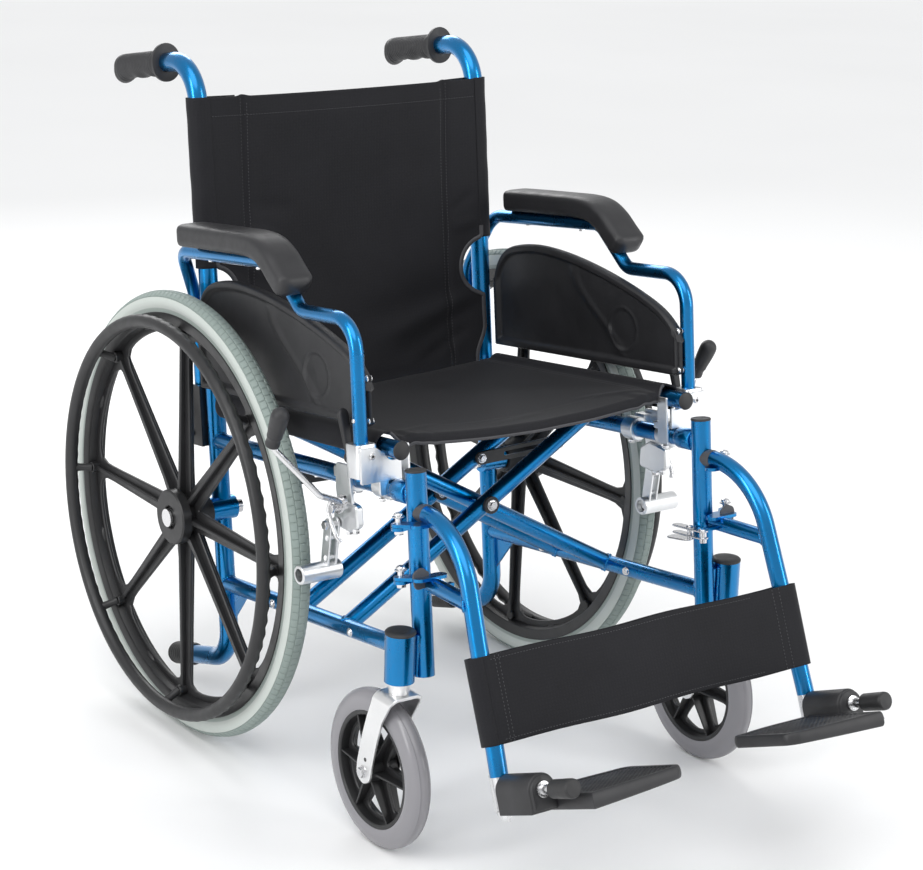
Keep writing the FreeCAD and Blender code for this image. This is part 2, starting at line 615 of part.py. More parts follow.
for name, make in SIDE_PARTS.items():
    left = make()
    left.exportStep(f"parts/left_{name}.step")
    left.mirror(ORIGIN, X).exportStep(f"parts/right_{name}.step")

frame = side_frame()
joined([frame, link_lug(1)]).exportStep("parts/left_side_frame.step")
joined([frame.mirror(ORIGIN, X), link_lug(-1)]).exportStep("parts/right_side_frame.step")
brace_member("a", -1).exportStep("parts/cross_brace_a.step")
brace_member("b", 1).exportStep("parts/cross_brace_b.step")
brace_bolts().exportStep("parts/brace_bolts.step")
link_bar(1).exportStep("parts/left_link_bar.step")
link_bar(-1).exportStep("parts/right_link_bar.step")
seat_sling().exportStep("parts/seat_sling.step")
back_sling().exportStep("parts/back_sling.step")
calf_strap().exportStep("parts/calf_strap.step")
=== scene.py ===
import bmesh
import bpy
import json
import math
import numpy as np
from mathutils import Matrix, Vector

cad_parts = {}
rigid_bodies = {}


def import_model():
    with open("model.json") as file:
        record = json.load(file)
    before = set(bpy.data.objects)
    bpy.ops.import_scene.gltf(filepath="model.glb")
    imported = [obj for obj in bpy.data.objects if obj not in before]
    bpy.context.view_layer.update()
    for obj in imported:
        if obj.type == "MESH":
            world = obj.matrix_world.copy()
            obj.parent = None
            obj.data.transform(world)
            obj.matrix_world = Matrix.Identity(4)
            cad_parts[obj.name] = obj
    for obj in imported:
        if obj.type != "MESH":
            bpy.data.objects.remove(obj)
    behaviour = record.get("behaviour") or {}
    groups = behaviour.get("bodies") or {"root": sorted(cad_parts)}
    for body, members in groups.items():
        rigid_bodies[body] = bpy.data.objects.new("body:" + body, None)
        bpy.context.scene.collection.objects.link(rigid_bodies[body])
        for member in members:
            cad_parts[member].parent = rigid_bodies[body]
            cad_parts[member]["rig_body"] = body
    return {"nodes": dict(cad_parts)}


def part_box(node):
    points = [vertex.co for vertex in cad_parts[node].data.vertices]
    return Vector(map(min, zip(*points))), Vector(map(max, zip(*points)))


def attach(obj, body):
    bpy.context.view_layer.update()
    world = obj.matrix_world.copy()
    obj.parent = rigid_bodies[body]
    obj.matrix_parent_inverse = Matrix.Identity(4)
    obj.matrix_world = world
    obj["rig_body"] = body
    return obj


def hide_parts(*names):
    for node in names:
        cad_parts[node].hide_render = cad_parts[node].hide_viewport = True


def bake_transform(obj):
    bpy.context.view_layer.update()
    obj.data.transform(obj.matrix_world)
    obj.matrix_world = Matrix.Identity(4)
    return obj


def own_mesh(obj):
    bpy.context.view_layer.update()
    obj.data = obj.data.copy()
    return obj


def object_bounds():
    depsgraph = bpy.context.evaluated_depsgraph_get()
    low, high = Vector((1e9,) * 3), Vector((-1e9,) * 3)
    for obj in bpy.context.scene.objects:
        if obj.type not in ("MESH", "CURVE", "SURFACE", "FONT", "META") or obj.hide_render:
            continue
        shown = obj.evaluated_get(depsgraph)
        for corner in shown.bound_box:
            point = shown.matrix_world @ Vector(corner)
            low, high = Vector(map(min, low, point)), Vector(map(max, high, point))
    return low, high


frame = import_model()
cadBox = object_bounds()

scene = bpy.context.scene
nodes = frame["nodes"]
print("frame loaded:", len(nodes), "nodes")

# The side frames lean back about the rear axle. Most places below are written level,
# in millimetres, with y counted from the axle, and are turned by level().
wheelLow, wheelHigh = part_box("left_rear_wheel")
axleY = (wheelLow.y + wheelHigh.y) / 2
axleZ = (wheelLow.z + wheelHigh.z) / 2
leanAngle = math.radians(6.8)
tau = 2 * math.pi


def level(x, y, z):
    # turn (y, z) about the axle by the lean, millimetres in, metres out
    y, z = np.asarray(y, float) / 1000, np.asarray(z, float) / 1000 - axleZ
    c, s = math.cos(leanAngle), math.sin(leanAngle)
    x = np.asarray(x, float) / 1000
    return np.stack(np.broadcast_arrays(x, axleY + y * c + z * s, axleZ - y * s + z * c), -1)


def upright(x, y, z):
    # the same millimetres without the lean, for wheels and casters
    parts = np.broadcast_arrays(np.asarray(x, float), axleY * 1000 + np.asarray(y, float), z)
    return np.stack(parts, -1) / 1000


footSlope = math.radians(15.7)


def footPoint(side, x, y, z):
    # about the hanger tube's lower end, y and z turned by its slope, x outwards
    c, s = math.cos(footSlope), math.sin(footSlope)
    y, z = np.asarray(y, float), np.asarray(z, float)
    return level(side * (237 + np.asarray(x, float)), -641 + y * c + z * s, 92 - y * s + z * c)


def heading(x, y, z):
    # a direction of the leaned frame, of length one
    return unit(level(x, y, z) - level(0, 0, 0))


def gridFaces(rows, columns, closeRows=False, closeColumns=False):
    # quads between neighbouring grid points, wrapped round where the grid is closed
    r = np.arange(rows if closeRows else rows - 1)[:, None]
    c = np.arange(columns if closeColumns else columns - 1)[None, :]
    r2, c2 = (r + 1) % rows, (c + 1) % columns
    quad = np.stack(np.broadcast_arrays(r * columns + c, r * columns + c2,
                                        r2 * columns + c2, r2 * columns + c), -1)
    return quad.reshape(-1, 4)


def patch(points, closeRows=False, closeColumns=False, flip=False):
    # one grid of points as (points, list of face arrays)
    rows, columns = points.shape[:2]
    faces = gridFaces(rows, columns, closeRows, closeColumns)
    return points.reshape(-1, 3), [faces[:, ::-1] if flip else faces]


def tube(points):
    # a grid closed round its columns, with a fan over each end ring
    rows, columns = points.shape[:2]
    flat, faces = patch(points, closeColumns=True)
    ends = np.stack([points[0].mean(0), points[-1].mean(0)])
    ring = np.arange(columns)
    nextRing = (ring + 1) % columns
    first = np.stack([np.full(columns, len(flat)), nextRing, ring], -1)
    last = np.stack([np.full(columns, len(flat) + 1), ring, nextRing], -1)
    last[:, 1:] += (rows - 1) * columns
    return np.vstack([flat, ends]), faces + [first, last]


def meshPiece(name, parts, material, body, sharp=38, replaces=()):
    # all parts as one mesh object at the origin, normals turned outwards
    points, loops, sizes, offset = [], [], [], 0
    for flat, faces in parts:
        points.append(flat)
        for block in faces:
            loops.append((block + offset).ravel())
            sizes.append(np.full(len(block), block.shape[1]))
        offset += len(flat)
    points, loops, sizes = np.vstack(points), np.concatenate(loops), np.concatenate(sizes)
    mesh = bpy.data.meshes.new(name)
    mesh.vertices.add(len(points))
    mesh.vertices.foreach_set("co", points.astype(np.float32).ravel())
    mesh.loops.add(len(loops))
    mesh.loops.foreach_set("vertex_index", loops.astype(np.int32))
    mesh.polygons.add(len(sizes))
    starts = np.concatenate([[0], np.cumsum(sizes)[:-1]])
    mesh.polygons.foreach_set("loop_start", starts.astype(np.int32))
    mesh.update(calc_edges=True)
    mesh.validate()
    outward(mesh)
    mesh.shade_smooth()
    mesh.set_sharp_from_angle(angle=math.radians(sharp))
    mesh.materials.append(material)
    piece = bpy.data.objects.new(name, mesh)
    scene.collection.objects.link(piece)
    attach(piece, body)
    if replaces:
        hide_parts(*replaces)
    return piece


def outward(mesh):
    # doubles merged first, then every face turned away from the inside
    shape = bmesh.new()
    shape.from_mesh(mesh)
    bmesh.ops.remove_doubles(shape, verts=shape.verts, dist=1e-6)
    bmesh.ops.recalc_face_normals(shape, faces=shape.faces)
    shape.to_mesh(mesh)
    shape.free()


def unit(v):
    # v / |v| for every vector in the last axis
    return v / np.linalg.norm(v, axis=-1, keepdims=True)


def lathe(centre, profile, count):
    # (x, radius) pairs turned about an X axis through centre
    profile = np.asarray(profile, float)
    angle = np.arange(count) / count * tau
    x = centre[0] + np.broadcast_to(profile[:, 0] / 1000, (count, len(profile)))
    r = np.broadcast_to(profile[:, 1] / 1000, (count, len(profile)))
    y = centre[1] + r * np.cos(angle)[:, None]
    z = centre[2] + r * np.sin(angle)[:, None]
    return np.stack([x, y, z], -1)


def sweep(path, section, reference, scale=None):
    # section (a, b) pairs carried along path: point = path + a*side + b*up, with
    # side = reference x tangent and up = tangent x side
    path, section = np.asarray(path, float), np.asarray(section, float) / 1000
    tangent = unit(np.gradient(path, axis=0))
    side = unit(np.cross(np.asarray(reference, float), tangent))
    up = np.cross(tangent, side)
    grow = np.ones(len(path)) if scale is None else np.asarray(scale, float)
    a = section[None, :, :1] * grow[:, None, None]
    b = section[None, :, 1:] * grow[:, None, None]
    return path[:, None, :] + a * side[:, None, :] + b * up[:, None, :]


def circle(radius, count=20):
    # radius * (cos, sin)
    angle = np.arange(count) / count * tau
    return np.stack([radius * np.cos(angle), radius * np.sin(angle)], -1)


def squircle(width, height, power=4.0, count=40):
    # |a/w|^p + |b/h|^p = 1, a rounded rectangle
    angle = np.arange(count) / count * tau
    c, s = np.cos(angle), np.sin(angle)
    r = (np.abs(c) ** power + np.abs(s) ** power) ** (-1 / power)
    return np.stack([width / 2 * r * c, height / 2 * r * s], -1)


def spline(points, count):
    # a cubic curve through the points (Catmull-Rom), sampled evenly by arc length
    points = np.asarray(points, float)
    p = np.vstack([2 * points[0] - points[1], points, 2 * points[-1] - points[-2]])
    t = np.linspace(0, 1, 24, endpoint=False)[None, :, None]
    a, b, c, d = (p[i:len(p) - 3 + i][:, None, :] for i in range(4))
    curve = 0.5 * (2 * b + (c - a) * t + (2 * a - 5 * b + 4 * c - d) * t ** 2
                   + (3 * b - a - 3 * c + d) * t ** 3)
    return resample(np.vstack([curve.reshape(-1, points.shape[1]), points[-1:]]), count)


def resample(curve, count):
    # points at equal steps of the distance along the curve
    step = np.linalg.norm(np.diff(curve, axis=0), axis=1)
    along = np.concatenate([[0], np.cumsum(step)])
    want = np.linspace(0, along[-1], count)
    return np.stack([np.interp(want, along, curve[:, i]) for i in range(curve.shape[1])], -1)


def smooth(low, high, value):
    # 0 below low, 1 above high and 3t^2 - 2t^3 between them
    t = np.clip((value - low) / (high - low), 0, 1)
    return t * t * (3 - 2 * t)


def domed(t, start, depth=0.985):
    # 1 up to start, then sqrt(1 - depth * share^2), where share runs from 0 to 1 at t = 1
    share = ((t - start) / (1 - start)).clip(0, 1)
    return np.sqrt(1 - depth * share ** 2)


def ringOn(centre, axis, profile, count=32):
    # (height along axis, radius) pairs turned about any axis
    axis = unit(np.asarray(axis, float))
    other = np.array([0, 0, 1.0]) if abs(axis[2]) < 0.9 else np.array([0, 1.0, 0])
    a = unit(np.cross(other, axis))
    b = np.cross(axis, a)
    profile = np.asarray(profile, float) / 1000
    angle = np.arange(count)[None, :, None] / count * tau
    return (np.asarray(centre, float) + profile[:, None, :1] * axis
            + profile[:, None, 1:] * (np.cos(angle) * a + np.sin(angle) * b))


def hexHead(centre, axis, radius, height):
    # a six-sided head with a chamfered top
    return tube(ringOn(centre, axis, [(0, radius), (height * 0.75, radius),
                                      (height, radius * 0.88)], 6))


def dome(centre, axis, radius, height, base=0.0):
    # a short wall, then a quarter ellipse turned about the axis
    angle = np.linspace(0, math.pi / 2, 7)
    profile = [(base - 0.3, radius)] + [(base + height * math.sin(a), max(radius * math.cos(a), 0.02))
                                        for a in angle]
    return tube(ringOn(centre, axis, profile, 32))


class Tree:
    # short calls for building one node material
    def __init__(self, name, space="Object"):
        self.material = bpy.data.materials.new(name)
        self.material.use_nodes = True
        self.nodes = self.material.node_tree.nodes
        self.links = self.material.node_tree.links
        self.shader = self.nodes["Principled BSDF"]
        coordinates = self.nodes.new("ShaderNodeTexCoord")
        self.place = coordinates.outputs[space]

    def add(self, kind, inputs=(), **settings):
        # one node: sockets are linked, plain values set, settings are its own options
        node = self.nodes.new("ShaderNode" + kind)
        for key, value in settings.items():
            setattr(node, key, value)
        for key, value in dict(inputs).items():
            if isinstance(value, bpy.types.NodeSocket):
                self.links.new(value, node.inputs[key])
            else:
                node.inputs[key].default_value = value
        return node

    def noise(self, scale, detail=3.0, rough=0.55, stretch=None):
        # noise at the piece's own place, drawn out where stretch is given
        place = self.place
        if stretch:
            place = self.add("Mapping", {"Vector": place, "Scale": stretch}).outputs[0]
        return self.add("TexNoise", {"Vector": place, "Scale": scale, "Detail": detail,
                                     "Roughness": rough}).outputs["Fac"]

    def ramp(self, value, low, high, start=0.35, end=0.65):
        # colour low below start, high above end, mixed between
        node = self.add("ValToRGB", {"Fac": value})
        node.color_ramp.elements[0].position = start
        node.color_ramp.elements[1].position = end
        node.color_ramp.elements[0].color = (*low, 1)
        node.color_ramp.elements[1].color = (*high, 1)
        return node.outputs["Color"]

    def span(self, value, low, high):
        # 0.3 to 0.7 of the noise stretched over low to high
        return self.add("MapRange", {"Value": value, "From Min": 0.3, "From Max": 0.7,
                                     "To Min": low, "To Max": high}).outputs[0]

    def bump(self, height, strength, distance, under=None):
        # a normal tilted by the height, laid over another one if given
        inputs = {"Height": height, "Strength": strength, "Distance": distance}
        if under is not None:
            inputs["Normal"] = under
        return self.add("Bump", inputs).outputs["Normal"]

    def finish(self, colour, roughness, normal=None, **sockets):
        # the shader's sockets; a name's underscores stand for its spaces
        for key, value in {"Base Color": colour, "Roughness": roughness, "Normal": normal}.items():
            if isinstance(value, bpy.types.NodeSocket):
                self.links.new(value, self.shader.inputs[key])
            elif value is not None:
                self.shader.inputs[key].default_value = value
        for key, value in sockets.items():
            self.shader.inputs[key.replace("_", " ")].default_value = value
        return self.material


def shade(colour, factor):
    # each channel times factor, at most 1
    return tuple(min(1.0, c * factor) for c in colour)


paintLook = {"colour": (0.0, 0.19, 0.47), "spread": 1.1, "roughness": (0.26, 0.31), "flake": 2600.0}


def candyPaint():
    # clear lacquer over bright blue metal: fine flakes and a slow change of depth
    t = Tree("candyPaint")
    slow = t.noise(9.0, 2.0)
    colour = t.ramp(slow, shade(paintLook["colour"], 1 / paintLook["spread"]),
                    shade(paintLook["colour"], paintLook["spread"]), 0.3, 0.7)
    flake = t.noise(paintLook["flake"], 1.0)
    normal = t.bump(flake, 0.015, 0.0001)
    return t.finish(colour, t.span(t.noise(60.0), *paintLook["roughness"]), normal, Metallic=1.0,
                    Coat_Weight=0.6, Coat_Roughness=0.04, Coat_IOR=1.5)


def mouldedPlastic(name, colour, roughness, grain, depth):
    # moulded black plastic: fine spark grain, slow gloss change
    t = Tree(name)
    slow = t.noise(14.0, 3.0)
    base = t.ramp(slow, shade(colour, 0.82), shade(colour, 1.2), 0.3, 0.7)
    fine = t.noise(grain, 2.0, 0.6)
    normal = t.bump(fine, 0.35, depth)
    return t.finish(base, t.span(t.noise(35.0, 4.0), *roughness), normal, Specular_IOR_Level=0.5)


def softRubber(name, colour, roughness, grain=900.0, dust=1.25):
    # matte rubber with a faint bloom of dust
    t = Tree(name)
    bloom = t.noise(24.0, 5.0, 0.65)
    base = t.ramp(bloom, colour, shade(colour, dust), 0.4, 0.75)
    normal = t.bump(t.noise(grain, 2.0), 0.3, 0.0002)
    return t.finish(base, t.span(t.noise(70.0, 3.0), *roughness), normal)


def treadRubber(name, wall, tread, wheelX, edge):
    # grey rubber, darker where the tread is: | |x| - wheelX | less than edge
    t = Tree(name)
    x = t.add("SeparateXYZ", {"Vector": t.place}).outputs["X"]
    out = t.add("Math", {0: x}, operation="ABSOLUTE").outputs[0]
    off = t.add("Math", {0: out, 1: wheelX}, operation="SUBTRACT").outputs[0]
    away = t.add("Math", {0: off}, operation="ABSOLUTE").outputs[0]
    share = t.add("Math", {0: away, 1: 0.5 / edge}, operation="MULTIPLY").outputs[0]
    base = t.ramp(share, tread, wall, 0.48, 0.52)
    return t.finish(base, t.span(t.noise(70.0, 3.0), 0.52, 0.64),
                    t.bump(t.noise(900.0, 2.0), 0.2, 0.0001))


def barMetal(name, colour, roughness, stretch=(1, 1, 1), scratch=900.0):
    # bright metal: drawn lines change the gloss, slow stains the colour
    t = Tree(name)
    lines = t.noise(scratch, 2.0, 0.5, stretch)
    stains = t.noise(30.0, 3.0)
    base = t.ramp(stains, shade(colour, 0.94), colour, 0.3, 0.65)
    return t.finish(base, t.span(lines, *roughness), t.bump(lines, 0.05, 0.0001), Metallic=1.0)


def wovenCloth(name, colour, threads=1400.0, sheen=0.07):
    # plain weave: over-and-under threads from two waves on the cloth's own map, in metres; the
    # crossings carry a painted highlight
    t = Tree(name, "UV")
    across = t.add("TexWave", {"Vector": t.place, "Scale": threads / 20}, wave_type="BANDS",
                   bands_direction="X").outputs["Fac"]
    along = t.add("TexWave", {"Vector": t.place, "Scale": threads / 20}, wave_type="BANDS",
                  bands_direction="Y").outputs["Fac"]
    check = t.add("Math", {0: across, 1: along}, operation="MULTIPLY").outputs[0]
    # painted highlight on the thread crowns: the crossings, times 0.18, set how far a copy of the
    # colour 1.7 times lighter is mixed in below
    lit = t.add("Math", {0: check, 1: 0.18}, operation="MULTIPLY").outputs[0]
    slub = t.noise(260.0, 3.0, 0.6, (1, 5, 1))
    slow = t.noise(7.0, 3.0)
    base = t.ramp(slow, shade(colour, 0.85), shade(colour, 1.18), 0.3, 0.7)
    base = t.add("Mix", {0: lit, 6: base, 7: (*shade(colour, 1.7), 1)}, data_type="RGBA").outputs[2]
    normal = t.bump(check, 0.2, 0.0002, t.bump(slub, 0.2, 0.0003))
    return t.finish(base, t.span(slub, 0.62, 0.8), normal, Sheen_Weight=sheen, Sheen_Roughness=0.45,
                    Specular_IOR_Level=0.2)


candyBlue = candyPaint()
wheelBlack = mouldedPlastic("wheelBlack", (0.014, 0.014, 0.015), (0.36, 0.5), 700.0, 0.0002)
panelBlack = mouldedPlastic("panelBlack", (0.017, 0.017, 0.019), (0.42, 0.55), 1500.0, 0.0003)
plateBlack = mouldedPlastic("plateBlack", (0.018, 0.018, 0.02), (0.4, 0.55), 1100.0, 0.0003)
capBlack = softRubber("capBlack", (0.018, 0.018, 0.019), (0.45, 0.6))
gripBlack = softRubber("gripBlack", (0.02, 0.02, 0.022), (0.42, 0.58), 700.0)
padBlack = softRubber("padBlack", (0.018, 0.018, 0.02), (0.4, 0.52), 1300.0, 1.15)
rimBlack = softRubber("rimBlack", (0.014, 0.014, 0.015), (0.38, 0.5), 500.0)
tyreGrey = treadRubber("tyreGrey", (0.53, 0.57, 0.54), (0.24, 0.29, 0.27), 0.276, 0.0128)
casterGrey = softRubber("casterGrey", (0.235, 0.23, 0.245), (0.22, 0.26), 500.0, 1.01)
zincSteel = barMetal("zincSteel", (0.74, 0.74, 0.75), (0.16, 0.3))
castAluminium = barMetal("castAluminium", (0.82, 0.83, 0.84), (0.28, 0.42), (1, 1, 0.15), 500.0)
forkSilver = barMetal("forkSilver", (0.86, 0.86, 0.86), (0.3, 0.4), (1, 1, 0.1), 420.0)
blackSteel = mouldedPlastic("blackSteel", (0.02, 0.02, 0.021), (0.28, 0.4), 900.0, 0.0001)
clothBlack = wovenCloth("clothBlack", (0.0115, 0.0115, 0.014))
plugGrey = mouldedPlastic("plugGrey", (0.07, 0.07, 0.075), (0.4, 0.5), 900.0, 0.0001)
threadBlack = softRubber("threadBlack", (0.045, 0.045, 0.05), (0.5, 0.65), 3000.0)

cadFinish = {  # the CAD pieces that stay visible
    "side_frame": candyBlue, "arm_tube": candyBlue, "hanger": candyBlue, "cross_brace_a": candyBlue,
    "cross_brace_b": candyBlue, "axle_bolts": zincSteel, "arm_bracket": blackSteel,
    "brake_lever": zincSteel, "footrest_stem": zincSteel,
}
for name, node in nodes.items():
    kind = name if name in cadFinish else name.split("_", 1)[1]
    if kind in cadFinish:
        node.data.materials.clear()
        node.data.materials.append(cadFinish[kind])
print("finishes done")


cameraLook = {"azimuth": -35.6, "elevation": 16.5, "roll": 1.74, "lens": 95.05,
              "place": (-1.77253, axleY - 2.70508, 1.33475), "shift": (0.0036, -0.003)}


def makeCamera():
    # axes from azimuth and elevation, then turned by the roll
    azimuth, elevation, roll = (math.radians(cameraLook[k]) for k in ("azimuth", "elevation", "roll"))
    back = Vector((math.sin(azimuth) * math.cos(elevation), -math.cos(azimuth) * math.cos(elevation),
                   math.sin(elevation)))
    right = Vector((0, 0, 1)).cross(back).normalized()
    up = back.cross(right)
    sideways = math.cos(roll) * right + math.sin(roll) * up
    upwards = math.cos(roll) * up - math.sin(roll) * right
    data = bpy.data.cameras.new("studioCamera")
    data.lens, data.sensor_width = cameraLook["lens"], 36.0
    data.shift_x, data.shift_y = cameraLook["shift"]
    camera = bpy.data.objects.new("studioCamera", data)
    camera.matrix_world = Matrix((sideways, upwards, back)).transposed().to_4x4()
    camera.location = cameraLook["place"]
    scene.collection.objects.link(camera)
    scene.camera = camera


lightLook = {  # place, size, power
    "leftPanel": ((-3.0, -0.2, 1.7), (0.7, 2.6), 40),
    "rightPanel": ((2.2, -2.8, 1.8), (0.6, 2.4), 36),
    "backPanel": ((0.8, 2.6, 2.0), (2.0, 1.2), 30),
}
skyLook = {"from": (-0.35, -0.45, 1.0), "spread": 50.0, "strength": 1.0}
worldLook = {"colour": (0.98, 0.99, 1.0), "strength": 0.72}


def makeLights():
    # each panel looks at the chair's middle; a wide soft sun and an even sky fill in
    for name, (place, size, power) in lightLook.items():
        data = bpy.data.lights.new(name, "AREA")
        data.shape, data.size, data.size_y, data.energy = "RECTANGLE", *size, power
        lamp = bpy.data.objects.new(name, data)
        lamp.location = place
        lamp.rotation_mode = "QUATERNION"
        lamp.rotation_quaternion = (Vector(place) - Vector((0, 0, 0.45))).to_track_quat("Z", "Y")
        scene.collection.objects.link(lamp)
    sky = bpy.data.lights.new("skyLight", "SUN")
    sky.angle, sky.energy = math.radians(skyLook["spread"]), skyLook["strength"]
    lamp = bpy.data.objects.new("skyLight", sky)
    lamp.rotation_mode = "QUATERNION"
    lamp.rotation_quaternion = Vector(skyLook["from"]).to_track_quat("Z", "Y")
    scene.collection.objects.link(lamp)
    world = bpy.data.worlds.new("studioWorld")
    world.use_nodes = True
    background = world.node_tree.nodes["Background"]
    background.inputs["Color"].default_value = (*worldLook["colour"], 1)
    background.inputs["Strength"].default_value = worldLook["strength"]
    scene.view_settings.view_transform = "Standard"
    scene.world = world


floorLook = {"half": 26.0, "colour": (0.9, 0.9, 0.9)}


def makeFloor():
    # one flat sheet of paper, x and y from -half to half
    side = np.linspace(-floorLook["half"], floorLook["half"], 9)
    x, y = np.meshgrid(side, side, indexing="ij")
    flat, faces = patch(np.stack([x, y, 0 * x], -1), flip=True)
    mesh = bpy.data.meshes.new("studioFloor")
    mesh.from_pydata(flat, [], faces[0])
    t = Tree("studioPaper")
    paper = t.ramp(t.noise(0.8, 2.0), shade(floorLook["colour"], 0.98), floorLook["colour"])
    mesh.materials.append(t.finish(paper, 0.75))
    floor = bpy.data.objects.new("studioFloor", mesh)
    floor.location = (0, 0, cadBox[0].z)
    scene.collection.objects.link(floor)


makeCamera()
makeLights()
makeFloor()
print("studio done")


wheelLook = {"x": 276.0, "hubIn": -32.5, "hubOut": 25.0, "flangeRadius": 37.0, "hubRadius": 29.0,
             "spokes": 8, "webHalf": (15.0, 9.5), "webThick": 5.0, "ribThick": 5.5, "drum": 255.0,
             "rimRadius": 272.0, "rimHalf": 14.0}
tyreLook = {"tube": 15.5, "blocks": 176, "depth": 1.3, "samples": 8}
handrimLook = {"x": 313.0, "radius": 263.0, "tube": 9.0, "grips": 84, "gripDepth": 1.5}


def webWindows(centre, side, count, windowIn, windowOut, webIn, webOut, half, thick, power, x0=0.0,
               turn=0.0):
    # one sector per window: rounded outline |s|^p + |q|^p = 1 in (angle, radius), blended to
    # the sector's own edge; front face, window wall and back face are rows of one grid
    t = np.arange(56) / 56 * tau
    c, s = np.cos(t), np.sin(t)
    square = 1 / np.maximum(np.abs(c), np.abs(s))
    rounded = (np.abs(c) ** power + np.abs(s) ** power) ** (-1 / power)
    parts = []
    for k in range(count):
        middle = (k + 0.5) / count * tau + turn
        radius = windowIn + (rounded * c + 1) / 2 * (windowOut - windowIn)
        spokeHalf = np.interp(radius, (windowIn, windowOut), half)
        angle = middle + rounded * s * (math.pi / count - np.arcsin(spokeHalf / radius))
        edgeRadius = webIn + (square * c + 1) / 2 * (webOut - webIn)
        edgeAngle = middle + square * s * math.pi / count
        ease = 1.2 / radius
        rows = [(edgeRadius, edgeAngle, thick / 2), (radius + c * 1.5, angle + s * ease, thick / 2),
                (radius, angle, thick / 2 - 1.2), (radius, angle, 1.2 - thick / 2),
                (radius + c * 1.5, angle + s * ease, -thick / 2), (edgeRadius, edgeAngle, -thick / 2)]
        grid = [np.stack([np.full(56, centre[0] + side * (x0 + x) / 1000),
                          centre[1] + r * np.cos(a) / 1000, centre[2] + r * np.sin(a) / 1000], -1)
                for r, a, x in rows]
        parts.append(patch(np.stack(grid), closeColumns=True))
    return parts


def radialBar(centre, side, angle, stations):
    # a bar along a spoke: at each (radius, x low, x high, half width) an eight-sided ring
    stations = np.asarray(stations, float)
    r, low, high, half = (stations[:, i:i + 1] for i in range(4))
    soft = np.minimum(1.2, half * 0.45)
    x = np.concatenate([low, low, low + soft, high - soft, high, high, high - soft, low + soft], 1)
    across = np.concatenate([half - soft, soft - half, -half, -half, soft - half, half - soft, half,
                             half], 1)
    c, s = math.cos(angle), math.sin(angle)
    return tube(np.stack([centre[0] + side * x / 1000,
                          centre[1] + (r * c - across * s) / 1000,
                          centre[2] + (r * s + across * c) / 1000], -1))


def rearWheel(label, side):
    # a turned rim and hub, a web with rounded windows, and ribbed spokes with eyelets
    look = wheelLook
    centre = np.array([side * look["x"] / 1000, axleY, axleZ])
    drum, outer, half = look["drum"], look["rimRadius"], look["rimHalf"]
    rim = [(-half, outer), (-half, outer - 3), (-half + 0.8, outer - 5), (-half + 0.8, drum + 4),
           (-half + 2, drum + 2), (-4, drum - 1), (4, drum - 1), (half - 2, drum + 2),
           (half - 0.8, drum + 4), (half - 0.8, outer - 5), (half, outer - 3), (half, outer)]
    parts = [patch(lathe(centre, [(side * x, r) for x, r in rim], 144), True, True)]
    parts += webWindows(centre, side, look["spokes"], 41, drum - 9, 26, drum, look["webHalf"],
                        look["webThick"], 9.0)
    for k in range(look["spokes"]):
        angle = k / look["spokes"] * tau
        wide = look["ribThick"] / 2
        parts.append(radialBar(centre, side, angle, [(26, -13, 13, wide + 1), (60, -12, 11, wide),
                                                     (150, -10.5, 9.5, wide), (235, -9.5, 8.5, wide),
                                                     (drum, -9, 8.5, wide + 0.6)]))
        # eyelet where the hand rim's stand-off is screwed on
        seat = centre + np.array([0, math.cos(angle), math.sin(angle)]) * 0.249
        parts.append(tube(ringOn(seat, (side, 0, 0), [(-9, 6.0), (-8, 7.2), (12.6, 7.2), (13.6, 6.2)],
                                 24)))
        # oval swelling inside the rim between two spokes
        middle = angle + math.pi / look["spokes"]
        bulge = centre + np.array([0, math.cos(middle), math.sin(middle)]) * (drum - 0.5) / 1000
        parts.append(ovalBoss(bulge, middle, 13.0, 6.0, 4.5))
    hubIn, hubOut = look["hubIn"], look["hubOut"]
    flange, hub = look["flangeRadius"], look["hubRadius"]
    profile = [(hubIn, 7), (hubIn, 20), (hubIn + 1.5, 22), (hubIn + 14, 24), (-12, hub), (8, hub + 2),
               (10, flange - 1.5), (11.5, flange), (hubOut - 2, flange), (hubOut, flange - 2),
               (hubOut, 16.5), (hubOut - 1, 15.5), (hubOut - 5, 15.5), (hubOut - 5, 7)]
    parts.append(patch(lathe(centre, [(side * x, r) for x, r in profile], 72), True, True))
    return meshPiece(label + "_wheel_moulding", parts, wheelBlack, label + "_wheel",
                     32, [label + "_rear_wheel"])


def ovalBoss(place, angle, long, wide, rise):
    # half an ellipsoid that rises towards the axle
    u = np.linspace(0, math.pi / 2, 8)[:, None]
    v = np.arange(24)[None, :] / 24 * tau
    along, across = long * np.cos(u) * np.cos(v), wide * np.cos(u) * np.sin(v)
    out = rise * np.sin(u) * np.ones_like(v)
    along, across, out = along / 1000, across / 1000, out / 1000
    c, s = math.cos(angle), math.sin(angle)
    return tube(np.stack([place[0] + across, place[1] - along * s - out * c,
                          place[2] + along * c - out * s], -1))


def hubCap(label, side):
    # domed cap over the axle bolt
    face = np.array([side * (wheelLook["x"] + wheelLook["hubOut"] - 5) / 1000, axleY, axleZ])
    meshPiece(label + "_hub_cap", [dome(face, (side, 0, 0), 12.6, 6.5, 1.0)], wheelBlack,
              label + "_frame")


